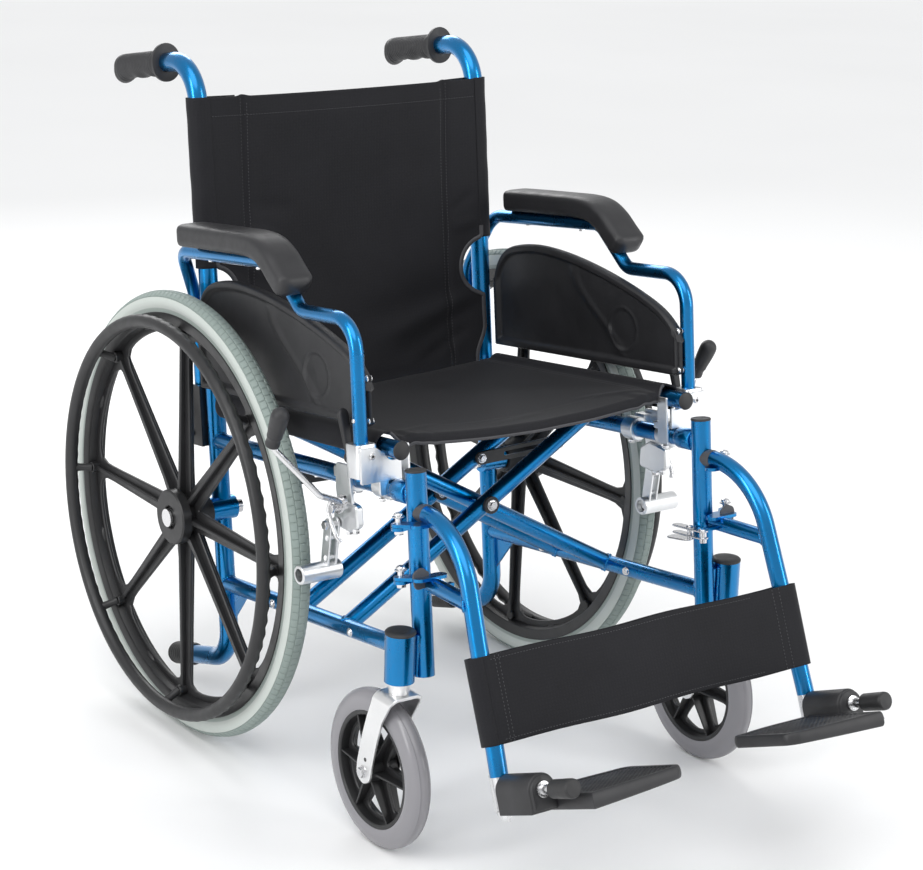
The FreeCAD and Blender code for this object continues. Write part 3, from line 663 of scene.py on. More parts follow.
def rearTyre(label, side):
    # a tube section; the crown is cut into four rows of blocks, the outer rows half a block
    # on: groove = 1 where |phase mod 1 - 1/2| is small, phase = blocks * turn (+ 1/2)
    look = tyreLook
    centre = np.array([side * wheelLook["x"] / 1000, axleY, axleZ])
    count = look["blocks"] * look["samples"]
    angle = np.arange(count)[:, None] / count * tau
    turn = np.radians(np.concatenate([np.linspace(-122, -66, 6), np.linspace(-62, 62, 33),
                                      np.linspace(66, 122, 6)]))[None, :]
    degrees = np.degrees(turn)
    phase = angle / tau * look["blocks"] + 0.5 * (np.abs(degrees) > 20)
    cut = np.abs(phase % 1 - 0.5) < 0.09
    lines = (np.abs(np.abs(degrees) - 20) < 2.2) | (np.abs(np.abs(degrees) - 58) < 2.5)
    crown = np.abs(degrees) < 60
    depth = look["depth"] * np.where(crown, np.maximum(cut * 0.9, lines * 0.8), 0)
    shoulder = -0.35 * smooth(60, 64, np.abs(degrees)) + 0.5 * (np.abs(np.abs(degrees) - 95) < 4)
    tubeR = look["tube"] - 0.3 + (shoulder - depth)
    seat = 1000 * axleZ - look["tube"]
    r = seat + tubeR * np.cos(turn)
    x = tubeR * np.sin(turn) + 0 * angle
    grid = np.stack([centre[0] + side * x / 1000, centre[1] + r * np.cos(angle) / 1000,
                     centre[2] + r * np.sin(angle) / 1000], -1)
    bed = 271.2
    under = [np.stack([np.full(count, centre[0] + side * v / 1000),
                       centre[1] + bed * np.cos(angle[:, 0]) / 1000,
                       centre[2] + bed * np.sin(angle[:, 0]) / 1000], -1) for v in (12.6, -12.6)]
    grid = np.concatenate([grid, under[0][:, None], under[1][:, None]], 1)
    return meshPiece(label + "_tyre", [patch(grid, True, True)], tyreGrey, label + "_wheel",
                     35, [label + "_rear_tyre"])


def handRim(label, side):
    # a ring whose tube is hollowed by a wave on the side away from the palm, on eight stand-offs
    look = handrimLook
    centre = np.array([side * look["x"] / 1000, axleY, axleZ])
    angle = np.arange(look["grips"] * 8)[:, None] / (look["grips"] * 8) * tau
    turn = np.arange(24)[None, :] / 24 * tau
    wave = (0.5 - 0.5 * np.cos(look["grips"] * angle)) ** 0.8
    back = np.clip(np.cos(turn - math.radians(215)), 0, 1) ** 1.2
    tubeR = look["tube"] - look["gripDepth"] * wave * back
    r = look["radius"] + tubeR * np.sin(turn + math.pi)
    x = tubeR * np.cos(turn)
    grid = np.stack([centre[0] + side * (x + 0 * angle) / 1000, centre[1] + r * np.cos(angle) / 1000,
                     centre[2] + r * np.sin(angle) / 1000], -1)
    parts = [patch(grid, True, True)]
    for k in range(wheelLook["spokes"]):
        a = k / wheelLook["spokes"] * tau
        out = np.array([0, math.cos(a), math.sin(a)])
        start = np.array([side * (wheelLook["x"] + 12.5) / 1000, axleY, axleZ]) + out * 0.249
        end = centre + out * (look["radius"] - 1.5) / 1000 - np.array([side * 0.003, 0, 0])
        path = start + (end - start) * np.linspace(0, 1, 8)[:, None]
        scale = np.array([1, 1, 0.92, 0.9, 0.9, 0.95, 1.05, 1.2])
        parts.append(tube(sweep(path, circle(5.8, 16), np.cross(out, (1, 0, 0)), scale)))
    return meshPiece(label + "_hand_rim", parts, rimBlack, label + "_wheel", 40,
                     [label + "_handrim"])


for label, side in (("left", 1), ("right", -1)):
    rearWheel(label, side)
    rearTyre(label, side)
    handRim(label, side)
    hubCap(label, side)
print("rear wheels done")


casterLook = {"x": 254.5, "y": -442.0, "radius": 100.0, "half": 14.0, "bed": 74.0, "windows": 6,
              "hub": 15.0, "hubHalf": 19.0}


def caster(label, side):
    # a turned tread with two grooves round it, a web with windows, six ribs and a turned barrel
    look = casterLook
    centre = upright(side * look["x"], look["y"], look["radius"])
    bed, half, radius = look["bed"], look["half"], look["radius"]
    profile = [(-half + 1, bed), (half - 1, bed), (half, bed + 3), (half + 0.2, bed + 9),
               (half - 1.2, 90), (half - 3, 94.2), (half - 5.4, 97.2), (half - 7.4, 98.6),
               (half - 8.0, 98.1), (half - 8.8, 98.2), (half - 10, 99.6), (0, radius)]
    profile = profile + [(-x, r) for x, r in profile[:1:-1][1:]]
    tyre = [patch(lathe(centre, profile, 128), True, True)]
    meshPiece(label + "_caster_tread", tyre, casterGrey, label + "_caster_wheel", 45,
              [label + "_caster_tyre"])
    drum = [(-13, bed - 0.4), (-13, bed - 4), (-12, bed - 5.5), (-3, bed - 8), (3, bed - 8),
            (12, bed - 5.5), (13, bed - 4), (13, bed - 0.4)]
    parts = [patch(lathe(centre, drum, 96), True, True)]
    parts += webWindows(centre, side, look["windows"], 24, bed - 13, 12, bed - 6, (9.5, 8.0), 4.4, 5.0)
    for k in range(look["windows"]):
        angle = k / look["windows"] * tau
        parts.append(radialBar(centre, side, angle, [(12, -17.5, 17.5, 1.6), (30, -15.5, 15.5, 1.5),
                                                     (52, -13, 13, 1.4), (bed - 5, -11.5, 11.5, 1.3)]))
    hub, deep = look["hub"], look["hubHalf"]
    barrel = [(-deep, 4.4), (-deep, hub - 3), (-deep + 1, hub - 2), (-5, hub), (5, hub),
              (deep - 1, hub - 2), (deep, hub - 3), (deep, 4.4)]
    parts.append(patch(lathe(centre, barrel, 48), True, True))
    meshPiece(label + "_caster_hub", parts, wheelBlack, label + "_caster_wheel", 32,
              [label + "_caster_wheel"])


for label, side in (("left", 1), ("right", -1)):
    caster(label, side)
print("casters done")


slingLook = {"thick": 1.6, "caneX": 220.0, "caneFront": -11.4, "seam": 160.0, "top": 846.0,
             "sleeveLow": 624.0, "notch": 42.0, "notchZ": 584.0, "low": 438.0, "bow": 16.0,
             "sleeve": 14.9, "wrap": 1.32, "lead": 0.16, "tail": 0.88}
seatLook = {"railX": 220.0, "railZ": 441.0, "front": -418.0, "rear": -26.0, "share": 0.78,
            "edge": 200.0, "rise": 11.0, "sag": 13.0, "roll": 7.0}
stitchLook = {"pitch": 4.2, "length": 3.0, "radius": 0.45}


def clothPiece(name, points, uv, body, thick, replaces=()):
    # a grid of cloth with its own map in metres, given a wall by Solidify
    flat, faces = patch(points)
    mesh = bpy.data.meshes.new(name)
    mesh.from_pydata(flat, [], faces[0])
    layer = mesh.uv_layers.new(name="cloth")
    corner = np.zeros(len(mesh.loops), np.int32)
    mesh.loops.foreach_get("vertex_index", corner)
    layer.data.foreach_set("uv", uv.reshape(-1, 2)[corner].astype(np.float32).ravel())
    mesh.shade_smooth()
    mesh.materials.append(clothBlack)
    piece = bpy.data.objects.new(name, mesh)
    scene.collection.objects.link(piece)
    wall = piece.modifiers.new("wall", "SOLIDIFY")
    wall.thickness, wall.offset = thick / 1000, 0.0
    if body:
        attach(piece, body)
    if replaces:
        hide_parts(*replaces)
    return piece


def arcMap(points):
    # distance along rows and columns of a grid, in metres
    down = np.linalg.norm(np.diff(points, axis=0), axis=2)
    over = np.linalg.norm(np.diff(points, axis=1), axis=2)
    v = np.concatenate([np.zeros((1, points.shape[1])), np.cumsum(down, 0)], 0)
    u = np.concatenate([np.zeros((points.shape[0], 1)), np.cumsum(over, 1)], 1)
    return np.stack([u, v], -1)


def stitches(path, normal, lift=0.9):
    # short raised capsules, one every pitch, each a small grid along its own tangent
    path = np.asarray(path, float)
    length = np.linalg.norm(np.diff(path, axis=0), axis=1).sum() * 1000
    count = max(3, int(length / stitchLook["pitch"]))
    path = resample(path, count)
    tangent = unit(np.gradient(path, axis=0))
    normal = unit(np.broadcast_to(np.asarray(normal, float), path.shape))
    side = unit(np.cross(tangent, normal))
    t = np.linspace(-1, 1, 5)
    angle = np.arange(6) / 6 * tau
    r = stitchLook["radius"] / 1000 * np.sqrt(np.clip(1.02 - t ** 2, 0, 1))
    along = t * stitchLook["length"] / 2000
    grid = (path[:, None, None, :] + tangent[:, None, None, :] * along[None, :, None, None]
            + (side[:, None, None, :] * np.cos(angle)[None, None, :, None]
               + normal[:, None, None, :] * np.sin(angle)[None, None, :, None])
            * r[None, :, None, None]
            + normal[:, None, None, :] * (lift / 1000 - 0.0006 * t[None, :, None, None] ** 2))
    faces = gridFaces(5, 6, False, True)
    offset = (np.arange(count) * 30)[:, None, None]
    return grid.reshape(-1, 3), [(faces[None] + offset).reshape(-1, 4)]


def ripple(a, b, seed, count=5):
    # a sum of smooth waves with fixed directions, about -1 to 1
    random = np.random.default_rng(seed)
    total = 0
    for k in range(count):
        fa, fb, phase = random.uniform(0.5, 1.6), random.uniform(0.5, 1.6), random.uniform(0, tau)
        total = total + np.sin(fa * a * (k + 1) * 0.8 + fb * b * (k + 1) * 0.6 + phase) / (k + 1)
    return total / 1.8


def fold(a, b, start, end, width):
    # one soft crease: a bump along the segment from start to end, faded at its ends
    (a0, b0), (a1, b1) = start, end
    long = math.hypot(a1 - a0, b1 - b0)
    along = ((a - a0) * (a1 - a0) + (b - b0) * (b1 - b0)) / long ** 2
    across = ((a - a0) * (b1 - b0) - (b - b0) * (a1 - a0)) / long
    return np.exp(-(across / width) ** 2) * smooth(-0.15, 0.3, along) * smooth(1.15, 0.7, along)


def backPanel():
    # x = share of the edge at each height, y = bow + puff + folds, z from top to seat
    look = slingLook
    z = np.linspace(look["top"], look["low"], 150)[:, None]
    u = np.linspace(-1, 1, 141)[None, :]
    gap = np.clip(look["notch"] ** 2 - (z - look["notchZ"]) ** 2, 0, None)
    edge = np.where(gap > 0, look["caneX"] + 2 - np.sqrt(gap), 0)
    edge = np.where(gap > 0, np.minimum(edge, 213), 213)
    edge = edge - 14 * smooth(500, 455, z)
    seam = look["seam"]
    x = np.sign(u) * np.where(np.abs(u) < 0.74, np.abs(u) / 0.74 * seam,
                              seam + (np.abs(u) - 0.74) / 0.26 * (edge - seam))
    centre = np.clip(1 - (x / 214) ** 2, 0, 1)
    inside = np.clip(1 - (x / seam) ** 2, 0, 1)
    down = (look["top"] - z) / (look["top"] - look["low"])
    sagging = 0.25 + 1.1 * np.sin(math.pi * np.clip(down * 1.05, 0, 1))
    y = look["caneFront"] + look["bow"] * centre * sagging
    y = y - 5.5 * np.sqrt(inside) * smooth(0.0, 0.08, down) * (0.5 + 0.5 * down)
    y = y + 2.6 * np.exp(-((np.abs(x) - seam) / 5.0) ** 2)
    ax = np.abs(x)
    y = y + 4.0 * fold(ax, z, (205, 530), (60, 470), 16)
    y = y + 3.4 * fold(ax, z, (190, 500), (95, 455), 10)
    y = y + 3.6 * fold(x, z, (190, 560), (-10, 520), 24) - 2.6 * fold(x, z, (205, 545), (40, 500), 12)
    y = y + 3.0 * fold(x, z, (-175, 545), (10, 490), 20)
    y = y - 2.4 * fold(x, z, (-200, 640), (-120, 600), 10)
    y = y - 2.2 * fold(x, z, (212, 650), (168, 640), 9) + 1.6 * fold(x, z, (205, 690), (165, 660), 8)
    y = y - 1.8 * fold(x, z, (-158, 668), (-110, 655), 7)
    y = y + 1.2 * (x < 0) * fold(x, z, (-158, 700), (-80, 690), 12)
    y = y + 0.8 * ripple(x / 60, z / 55, 3) * (0.3 + down)
    z = z + 2.2 * np.exp(-((np.abs(x) - seam) / 7.0) ** 2) * smooth(0.05, 0, down) \
        - 2.5 * centre * smooth(0.3, 0, down) + 0 * x
    return level(x, y, z), x


def backSling():
    # the panel with its stitches and hems, and a sleeve round each cane: an arc of 1.32 half
    # turns whose front runs on flat to the panel and whose tail is drawn in to the seam behind
    look = slingLook
    points, x = backPanel()
    panel = clothPiece("back_panel", points, arcMap(points), "right_frame", look["thick"],
                       ["back_sling"])
    parts = []
    for side in (1, -1):
        column = int(np.argmin(np.abs(x[0] - side * (look["seam"] + 4))))
        parts.append(stitches(points[2:, column], (0, -1, 0)))
        column = int(np.argmin(np.abs(x[0] - side * (look["seam"] - 5))))
        parts.append(stitches(points[4:, column], (0, -1, 0)))
        edge = points[:, -1 if side > 0 else 0]
        parts.append(tube(sweep(edge[75:], squircle(4.4, 6.5, 3, 14), (1, 0, 0))))
    parts.append(stitches(points[9, 2:-2], (0, -1, 0)))
    thread = meshPiece("back_stitches", parts, threadBlack, "right_frame", 60)
    for side, label in ((1, "left"), (-1, "right")):
        height = np.linspace(look["top"] + 0.6, look["sleeveLow"], 70)[:, None]
        t = np.linspace(0, 1, 72)[None, :]
        # from the front of the panel round the cane to the seam behind
        wrap, radius = look["wrap"], look["sleeve"]
        turn = -math.pi / 2 + (t * wrap - look["lead"]) * math.pi
        r = radius + 0.3 * np.sin(height / 9 + 4 * t) * np.sin(height / 31)
        cx = r * np.cos(turn)
        cy = r * np.sin(turn)
        lead = np.clip(look["lead"] / wrap - t, 0, 1) * wrap * math.pi * 15
        cx = np.where(turn < -math.pi / 2, -lead - 1.5, cx)
        cy = np.where(turn < -math.pi / 2, -radius, cy)
        tail = np.clip(t - look["tail"], 0, 1) / (1 - look["tail"])
        cx = np.where(tail > 0, cx * (1 - tail) + tail * -52, cx)
        cy = np.where(tail > 0, cy * (1 - tail) + tail * -5.5, cy)
        ring = level(side * (look["caneX"] + cx), 3.0 + cy, height)
        clothPiece(label + "_back_sleeve", ring, arcMap(ring), label + "_frame", look["thick"])
    for piece in (panel, thread):
        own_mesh(piece)


def seatSurface():
    # across: |x| = flat share of |u|, then an arc round each rail; z = rail + cloth - sag;
    # along: y runs forwards and turns down over a small radius at the front hem
    look = seatLook
    v = np.linspace(0, 1, 130)[:, None]
    u = np.linspace(-1, 1, 241)[None, :]
    share, edge = look["share"], look["edge"]
    beyond = (np.abs(u) - share).clip(0) / (1 - share)
    turn = np.radians(138 - 238 * beyond)
    r = 14.2 + 2.6 * np.sin(turn).clip(0)
    flat = np.abs(u) < share
    ax = np.where(flat, np.abs(u) / share * edge, look["railX"] + r * np.cos(turn))
    x = np.sign(u) * ax + 0 * v
    ax = np.abs(x)
    inner = smooth(208, 196, ax) * flat
    long = look["rear"] - look["front"] - 7 * (1 - inner)
    roll = look["roll"]
    s = v * (long + 0.9 * roll * inner)
    bend = ((s - (long - roll)) / roll).clip(0, None)
    over = np.minimum(bend, 1) * math.pi / 2
    y = look["rear"] - np.minimum(s, long - roll) - roll * np.sin(over) * 2 / math.pi
    drop = (roll * (1 - np.cos(over)) * 2 / math.pi + (bend - 1).clip(0) * roll) * inner
    across = (1 - (x / edge) ** 2).clip(0)
    depth = 0.8 + 0.3 * np.sin(math.pi * v)
    z = np.where(flat, look["railZ"] + look["rise"] - look["sag"] * across ** 1.15 * depth,
                 look["railZ"] + r * np.sin(turn)) - drop
    ends = smooth(0.84, 1.0, v)
    pinch = smooth(140, 195, ax) * smooth(236, 212, ax)
    z = z + ends * pinch * (1.9 * np.sin(ax / 6.5) + 1.2 * np.sin(ax / 3.4 + 2 * np.sign(u)))
    y = y + ends * pinch * 3.5 * np.sin(ax / 15.0 + 1.0) - 5.0 * smooth(0.7, 1, v) * across
    y = y + 3.0 * smooth(0.12, 0.0, v) * np.sin(x / 46.0)
    z = z + flat * (0.8 * ripple(x / 55, s / 60, 11) + 1.3 * fold(x, y, (-205, -400), (-110, -350), 7)
                    + 1.4 * fold(x, y, (205, -395), (120, -345), 8)
                    - 1.3 * fold(x, y, (-190, -60), (-90, -110), 12)
                    + 1.5 * fold(x, y, (150, -40), (60, -120), 14)
                    + 1.0 * fold(x, y, (-60, -395), (40, -370), 9)) * smooth(198, 180, ax)
    return level(x, y, z), x


def seatSling():
    # the seat's sheet, seams along both rails, the front and the rear, and a cap on each rail
    look = seatLook
    points, x = seatSurface()
    cloth = clothPiece("seat_panel", points, arcMap(points), None, 2.4, ["seat_sling"])
    parts = []
    for side in (1, -1):
        for inset in (look["edge"] - 1.5, look["edge"] - 7.0):
            column = int(np.argmin(np.abs(x[0] - side * inset)))
            parts.append(stitches(points[3:-8, column], (0, 0.12, 1), 1.4))
    parts.append(stitches(points[108, 30:-30], (0, 0.12, 1), 1.4))
    parts.append(stitches(points[4, 30:-30], (0, 0.12, 1), 1.4))
    hem = points[-1, 24:-24]
    parts.append(tube(sweep(hem, squircle(3.2, 4.4, 3, 14), (0, 0, 1))))
    thread = meshPiece("seat_stitches", parts, threadBlack, "cross_brace_a", 60)
    thread.parent = None
    del thread["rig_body"]
    ends = {"start": tuple(level(-200, -226, 441)), "end": tuple(level(200, -226, 441))}
    for piece in (cloth, thread):
        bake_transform(piece)
    for side, body, label in ((1, "cross_brace_a", "left"), (-1, "cross_brace_b", "right")):
        front = level(side * look["railX"], -441.0, look["railZ"])
        meshPiece(label + "_rail_cap", [dome(front, heading(0, -1, 0), 11.6, 2.6, 1.4)], capBlack, body)


strapLook = {"low": 36.0, "high": 138.0, "run": 474.0, "bend": 12.9}


def calfStrap():
    # one band round both hanger tubes: a flat loop in (x, y), carried along the tubes
    look = strapLook
    run, bend = look["run"], look["bend"]
    z = np.linspace(look["high"], look["low"], 44)[:, None]
    columns = 190
    total = 2 * run + 2 * math.pi * bend
    d = np.linspace(0, 1, columns)[None, :] * total
    front = np.clip(d, 0, run)
    turnOne = np.clip((d - run) / bend, 0, math.pi)
    back = np.clip(d - run - math.pi * bend, 0, run)
    turnTwo = np.clip((d - 2 * run - math.pi * bend) / bend, 0, math.pi)
    x = front - back + bend * np.sin(turnOne) - bend * np.sin(turnTwo)
    y = -bend * np.cos(turnOne) * np.where(turnTwo > 0, np.cos(turnTwo), 1.0)
    middle = np.sin(math.pi * np.clip(x / run, 0, 1))
    tilt = (2 * z - look["high"] - look["low"]) / (look["high"] - look["low"])
    wave = 1.3 * ripple(x / 55, z / 30, 7)
    onBack = smooth(-4, 4, y)
    y = y - (1 - onBack) * middle * 1.5 * (1 - tilt ** 2) + wave * middle
    y = y - onBack * (6.5 - 1.5 * middle) * smooth(6, 30, x) * smooth(run - 6, run - 30, x)
    z = z + 1.5 * np.sin(x / 38.0) * middle * np.abs(tilt) ** 3 + 0 * y
    points = footPoint(-1, -x, y, z)
    band = clothPiece("calf_band", points, arcMap(points), "right_hanger", 1.8, ["calf_strap"])
    parts = []
    for row in (2, -3):
        parts.append(stitches(points[row, 2:75], (0, -0.92, 0.38), 1.2))
    for share in (20, 26, 450, 444):
        column = int(share / total * columns)
        parts.append(stitches(points[1:-1, column], (0, -0.92, 0.38), 1.2))
    thread = meshPiece("calf_stitches", parts, threadBlack, "right_hanger", 60)
    for piece in (band, thread):
        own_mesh(piece)


backSling()
seatSling()
calfStrap()
print("cloth done")


padLook = {"x": 260.0, "width": 49.0, "height": 31.0,
           "line": [(-30, 674), (-80, 674.5), (-140, 674.5), (-196, 674), (-226, 669.5),
                    (-248, 658), (-266, 642), (-288, 623)]}
panelLook = {"x": 240.0, "field": 2.2, "border": 5.2, "band": 13.0, "rib": 2.6, "badge": (-296, 518),
             "badgeRadius": 29.0,
             "top": [(-8, 572), (-30, 600), (-60, 613), (-120, 617), (-200, 607), (-290, 585),
                     (-365, 558), (-400, 534), (-412, 514)]}


def armPad(label, side):
    # a rounded rectangle carried along the pad's line, shrinking to domed ends
    look = padLook
    line = spline(look["line"], 90)
    path = level(side * look["x"], line[:, 0], line[:, 1])
    t = np.linspace(0, 1, 90)
    ends = domed(1 - t, 0.972, 0.97) * domed(t, 0.955, 0.97)
    section = squircle(look["height"], look["width"], 4.6, 48)
    # the underside is flatter than the crown
    section[:, 0] = np.where(section[:, 0] < 0, section[:, 0] * 0.96, section[:, 0])
    grid = sweep(path, section, (side, 0, 0))
    centre = grid.mean(1, keepdims=True)
    grid = centre + (grid - centre) * (0.28 + 0.72 * ends)[:, None, None]
    pad = meshPiece(label + "_pad", [tube(grid)], padBlack, label + "_armrest", 60,
                    [label + "_arm_pad"])
    bolts = [hexHead(level(side * 254, y, 643.4), heading(0, 0, -1), 4.4, 3) for y in (-70, -190)]
    meshPiece(label + "_pad_bolts", bolts, zincSteel, label + "_armrest", 30)


def panelRelief(y, z, rise, look):
    # border ridge + curved rib + badge ring, in millimetres above the field
    border = look["border"] * (1 - smooth(look["band"] - 5, look["band"] + 1, rise))
    curve = -196 - 95 * smooth(604, 488, z) + 18 * np.sin((z - 480) / 40)
    rib = look["rib"] * np.exp(-((y - curve) / 8.5) ** 2) * smooth(8, 20, rise)
    plateau = 1.4 * smooth(4, -10, y - curve) * smooth(6, 16, rise)
    by, bz = look["badge"]
    d = np.hypot(y - by, z - bz)
    ring = 1.1 * np.exp(-((d - look["badgeRadius"]) / 1.6) ** 2)
    dish = -1.3 * smooth(look["badgeRadius"] - 1.5, look["badgeRadius"] - 4, d) \
        + 0.8 * smooth(look["badgeRadius"] - 4, 0, d)
    return look["field"] + np.maximum(border, rib + plateau) + (ring + dish) * smooth(10, 18, rise)


def armPanel(label, side):
    # outline y from back to front, z from the straight foot to the arched top;
    # both faces carry the relief and meet in a rounded edge
    look = panelLook
    top = np.array(look["top"], float)
    y = np.linspace(-6, -413, 170)[:, None]
    arch = spline(top, 260)
    order = np.argsort(arch[:, 0])
    high = np.interp(y[:, 0], arch[order, 0], arch[order, 1])[:, None]
    high = high - 8 * smooth(-18, -6, y)
    low = 467.0 + 9 * (1 - np.sqrt(np.clip(1 - ((-398 - y).clip(0) / 15.0) ** 2, 0, 1)))
    v = np.linspace(0, 1, 84)[None, :]
    v = 0.5 - 0.5 * np.cos(math.pi * v)
    z = low + v * (high - low)
    slope = np.gradient(high[:, 0], y[:, 0])[:, None]
    rise = np.minimum(np.minimum((high - z) / np.sqrt(1 + slope ** 2), z - low),
                      np.minimum(-6 - y, y + 413))
    wall = panelRelief(y, z, rise, look)
    edge = 4.0
    wall = wall * np.sqrt(np.clip(1 - (1 - rise / edge).clip(0, 1) ** 2, 0, 1))
    flange = smooth(-402, -405, y) * (rise > 2)
    wall = wall * (1 - flange) + 2.6 * flange
    yy = y + 0 * z
    faces = []
    for face in (1, -1):
        points = level(side * (look["x"] + face * wall), yy, z)
        faces.append(patch(points, flip=face < 0))
    panel = meshPiece(label + "_skirt", faces, panelBlack, label + "_armrest", 50,
                      [label + "_arm_panel"])
    rivets = []
    for z0 in (526, 475):
        for face in (1, -1):
            place = level(side * (look["x"] + face * 2.2), -408, z0)
            rivets.append(dome(place, (side * face, 0, 0), 4.2, 2.2, 0.4))
    meshPiece(label + "_skirt_rivets", rivets, zincSteel, label + "_armrest", 40)
    return panel


def armLatch(label, side):
    # a flat paddle that thickens at its thumb end
    t = np.linspace(0, 1, 24)
    path = level(side * 256, -385 + 14 * t, 430 + 58 * t)
    scale = (0.75 + 0.35 * t) * domed(t, 0.86, 0.9)
    blade = tube(sweep(path, squircle(8.0, 13.0, 4, 28), (side, 0, 0), scale))
    knuckle = tube(ringOn(level(side * 249.6, -385, 430), (side, 0, 0),
                          [(0, 5.2), (1, 6.2), (11.4, 6.2), (12.4, 5.2)], 28))
    meshPiece(label + "_latch_paddle", [blade, knuckle], panelBlack, label + "_armrest_latch",
              40, [label + "_arm_latch"])


gripLook = {"front": 84.0, "rear": 207.0, "radius": 16.4, "ribs": 30, "ribDepth": 0.9,
            "flange": (25.5, 21.0), "drop": 0.055, "z": 890.7}


def pushGrip(label, side):
    # r = radius + fine ribs + finger swells, flange in front, lobe below the rear end
    look = gripLook
    t = np.linspace(0, 1, 260)[:, None]
    turn = np.arange(40)[None, :] / 40 * tau
    y = look["front"] - 4 + t * (look["rear"] - look["front"] + 4)
    flange = smooth(0.0, 0.012, t) * smooth(0.062, 0.048, t)
    under = np.clip(-np.sin(turn), 0, 1)
    ribs = look["ribDepth"] * (0.5 + 0.5 * np.cos(tau * look["ribs"] * t)) * smooth(0.16, 0.2, t) \
        * smooth(0.93, 0.88, t) * (0.4 + 0.6 * np.abs(np.cos(turn)) ** 0.5)
    swell = 1.3 * under * np.sin((t - 0.15) * 3.3 * tau) * smooth(0.15, 0.25, t) * smooth(0.8, 0.7, t)
    neck = -1.6 * smooth(0.05, 0.07, t) * smooth(0.17, 0.12, t)
    lobe = 6.5 * under ** 1.5 * smooth(0.82, 0.95, t)
    r = look["radius"] + ribs + swell + neck + lobe
    tall, wide = look["flange"]
    oval = np.sqrt((wide * np.cos(turn)) ** 2 + (tall * np.sin(turn)) ** 2)
    r = r + flange * (oval - look["radius"])
    r = r * domed(t, 0.955) * (0.85 + 0.15 * smooth(-0.004, 0.004, t))
    axisZ = look["z"] - (y - look["front"]) * look["drop"]
    grid = level(side * (220 + r * np.cos(turn)), y, axisZ + r * np.sin(turn))
    meshPiece(label + "_handle_grip", [tube(grid)], gripBlack, label + "_frame", 60,
              [label + "_push_grip"])


def brakeGrip(label, side):
    # a bulb on the lever: r grows to a swell near the end and closes in a dome
    low = level(side * 331, -329, 446)
    high = level(side * 333, -357, 488)
    axis = unit(high - low)
    length = np.linalg.norm(high - low) * 1000
    t = np.linspace(0, 1, 44)
    r = 8.6 + 2.6 * smooth(0, 0.75, t) + 0.5 * np.sin(t * 26) * (t < 0.3)
    r = r * domed(t, 0.8, 0.99)
    r[0] = 6.0
    profile = np.stack([2 + t * (length + 8), r], -1)
    meshPiece(label + "_brake_bulb", [tube(ringOn(low, axis, profile, 32))], gripBlack,
              label + "_brake_lever", 50, [label + "_brake_grip"])


plateLook = {"inner": -16.0, "outer": -158.0, "front": -150.0, "rear": -16.5, "top": (-26.0, -24.0),
             "low": (-43.5, -37.0), "corner": 16.0, "margin": 9.0, "treadRise": 1.0, "pitch": 7.0}


def footDeck(side):
    # x runs inwards from the hinge, y from front to rear; the deck thins towards the middle,
    # its border is raised and the field carries a fine tread
    look = plateLook
    u, v = np.linspace(0, 1, 150)[:, None], np.linspace(0, 1, 130)[None, :]
    # finer steps near the edges
    u = 0.35 * (0.5 - 0.5 * np.cos(math.pi * u)) + 0.65 * u
    v = 0.35 * (0.5 - 0.5 * np.cos(math.pi * v)) + 0.65 * v
    width = look["outer"] - look["inner"]
    x = look["inner"] + u * width
    front = look["front"] + 10 * u ** 3 + 0 * v
    rear = look["rear"] - 12 * smooth(0.45, 1, u)
    y = front + v * (rear - front)
    # distance in from the edge, measured round a corner arc at the two inner corners
    fromHinge, fromTip = u * abs(width), (1 - u) * abs(width)
    fromSide = np.minimum(y - front, rear - y)
    rise = np.minimum(np.minimum(fromHinge, fromTip), fromSide)
    arc = look["corner"]
    reach = np.hypot((fromTip - arc).clip(None, 0), (fromSide - arc).clip(None, 0))
    rise = np.where((fromTip < arc) & (fromSide < arc), arc - reach, rise)
    keepIn = np.clip(rise, 0, None)
    pull = np.clip(-rise, 0, None)
    x = x + pull * 0.72
    y = y + np.where(v < 0.5, 1, -1) * pull * 0.72
    top = look["top"][0] + u * (look["top"][1] - look["top"][0])
    low = look["low"][0] + u * (look["low"][1] - look["low"][0])
    middle = (top + low) / 2
    field = smooth(look["margin"], look["margin"] + 2, keepIn)
    tread = look["treadRise"] * (np.abs(np.sin(math.pi * (x + y) / look["pitch"]))
                                 * np.abs(np.sin(math.pi * (x - y) / look["pitch"]))) ** 0.7
    upper = top + 1.2 * (1 - field) + field * (tread - 0.6)
    soft = 3.0
    closeUp = np.sqrt(np.clip(1 - (1 - keepIn / soft).clip(0, 1) ** 2, 0, 1))
    pocket = 3.5 * smooth(8, 11, keepIn) * (np.abs((fromHinge + 10) % 30 - 15) > 1.6)
    upper = middle + (upper - middle) * closeUp
    lower = middle + (low + pocket - middle) * closeUp
    return [patch(footPoint(side, x, y, upper)), patch(footPoint(side, x, y, lower), flip=True)]


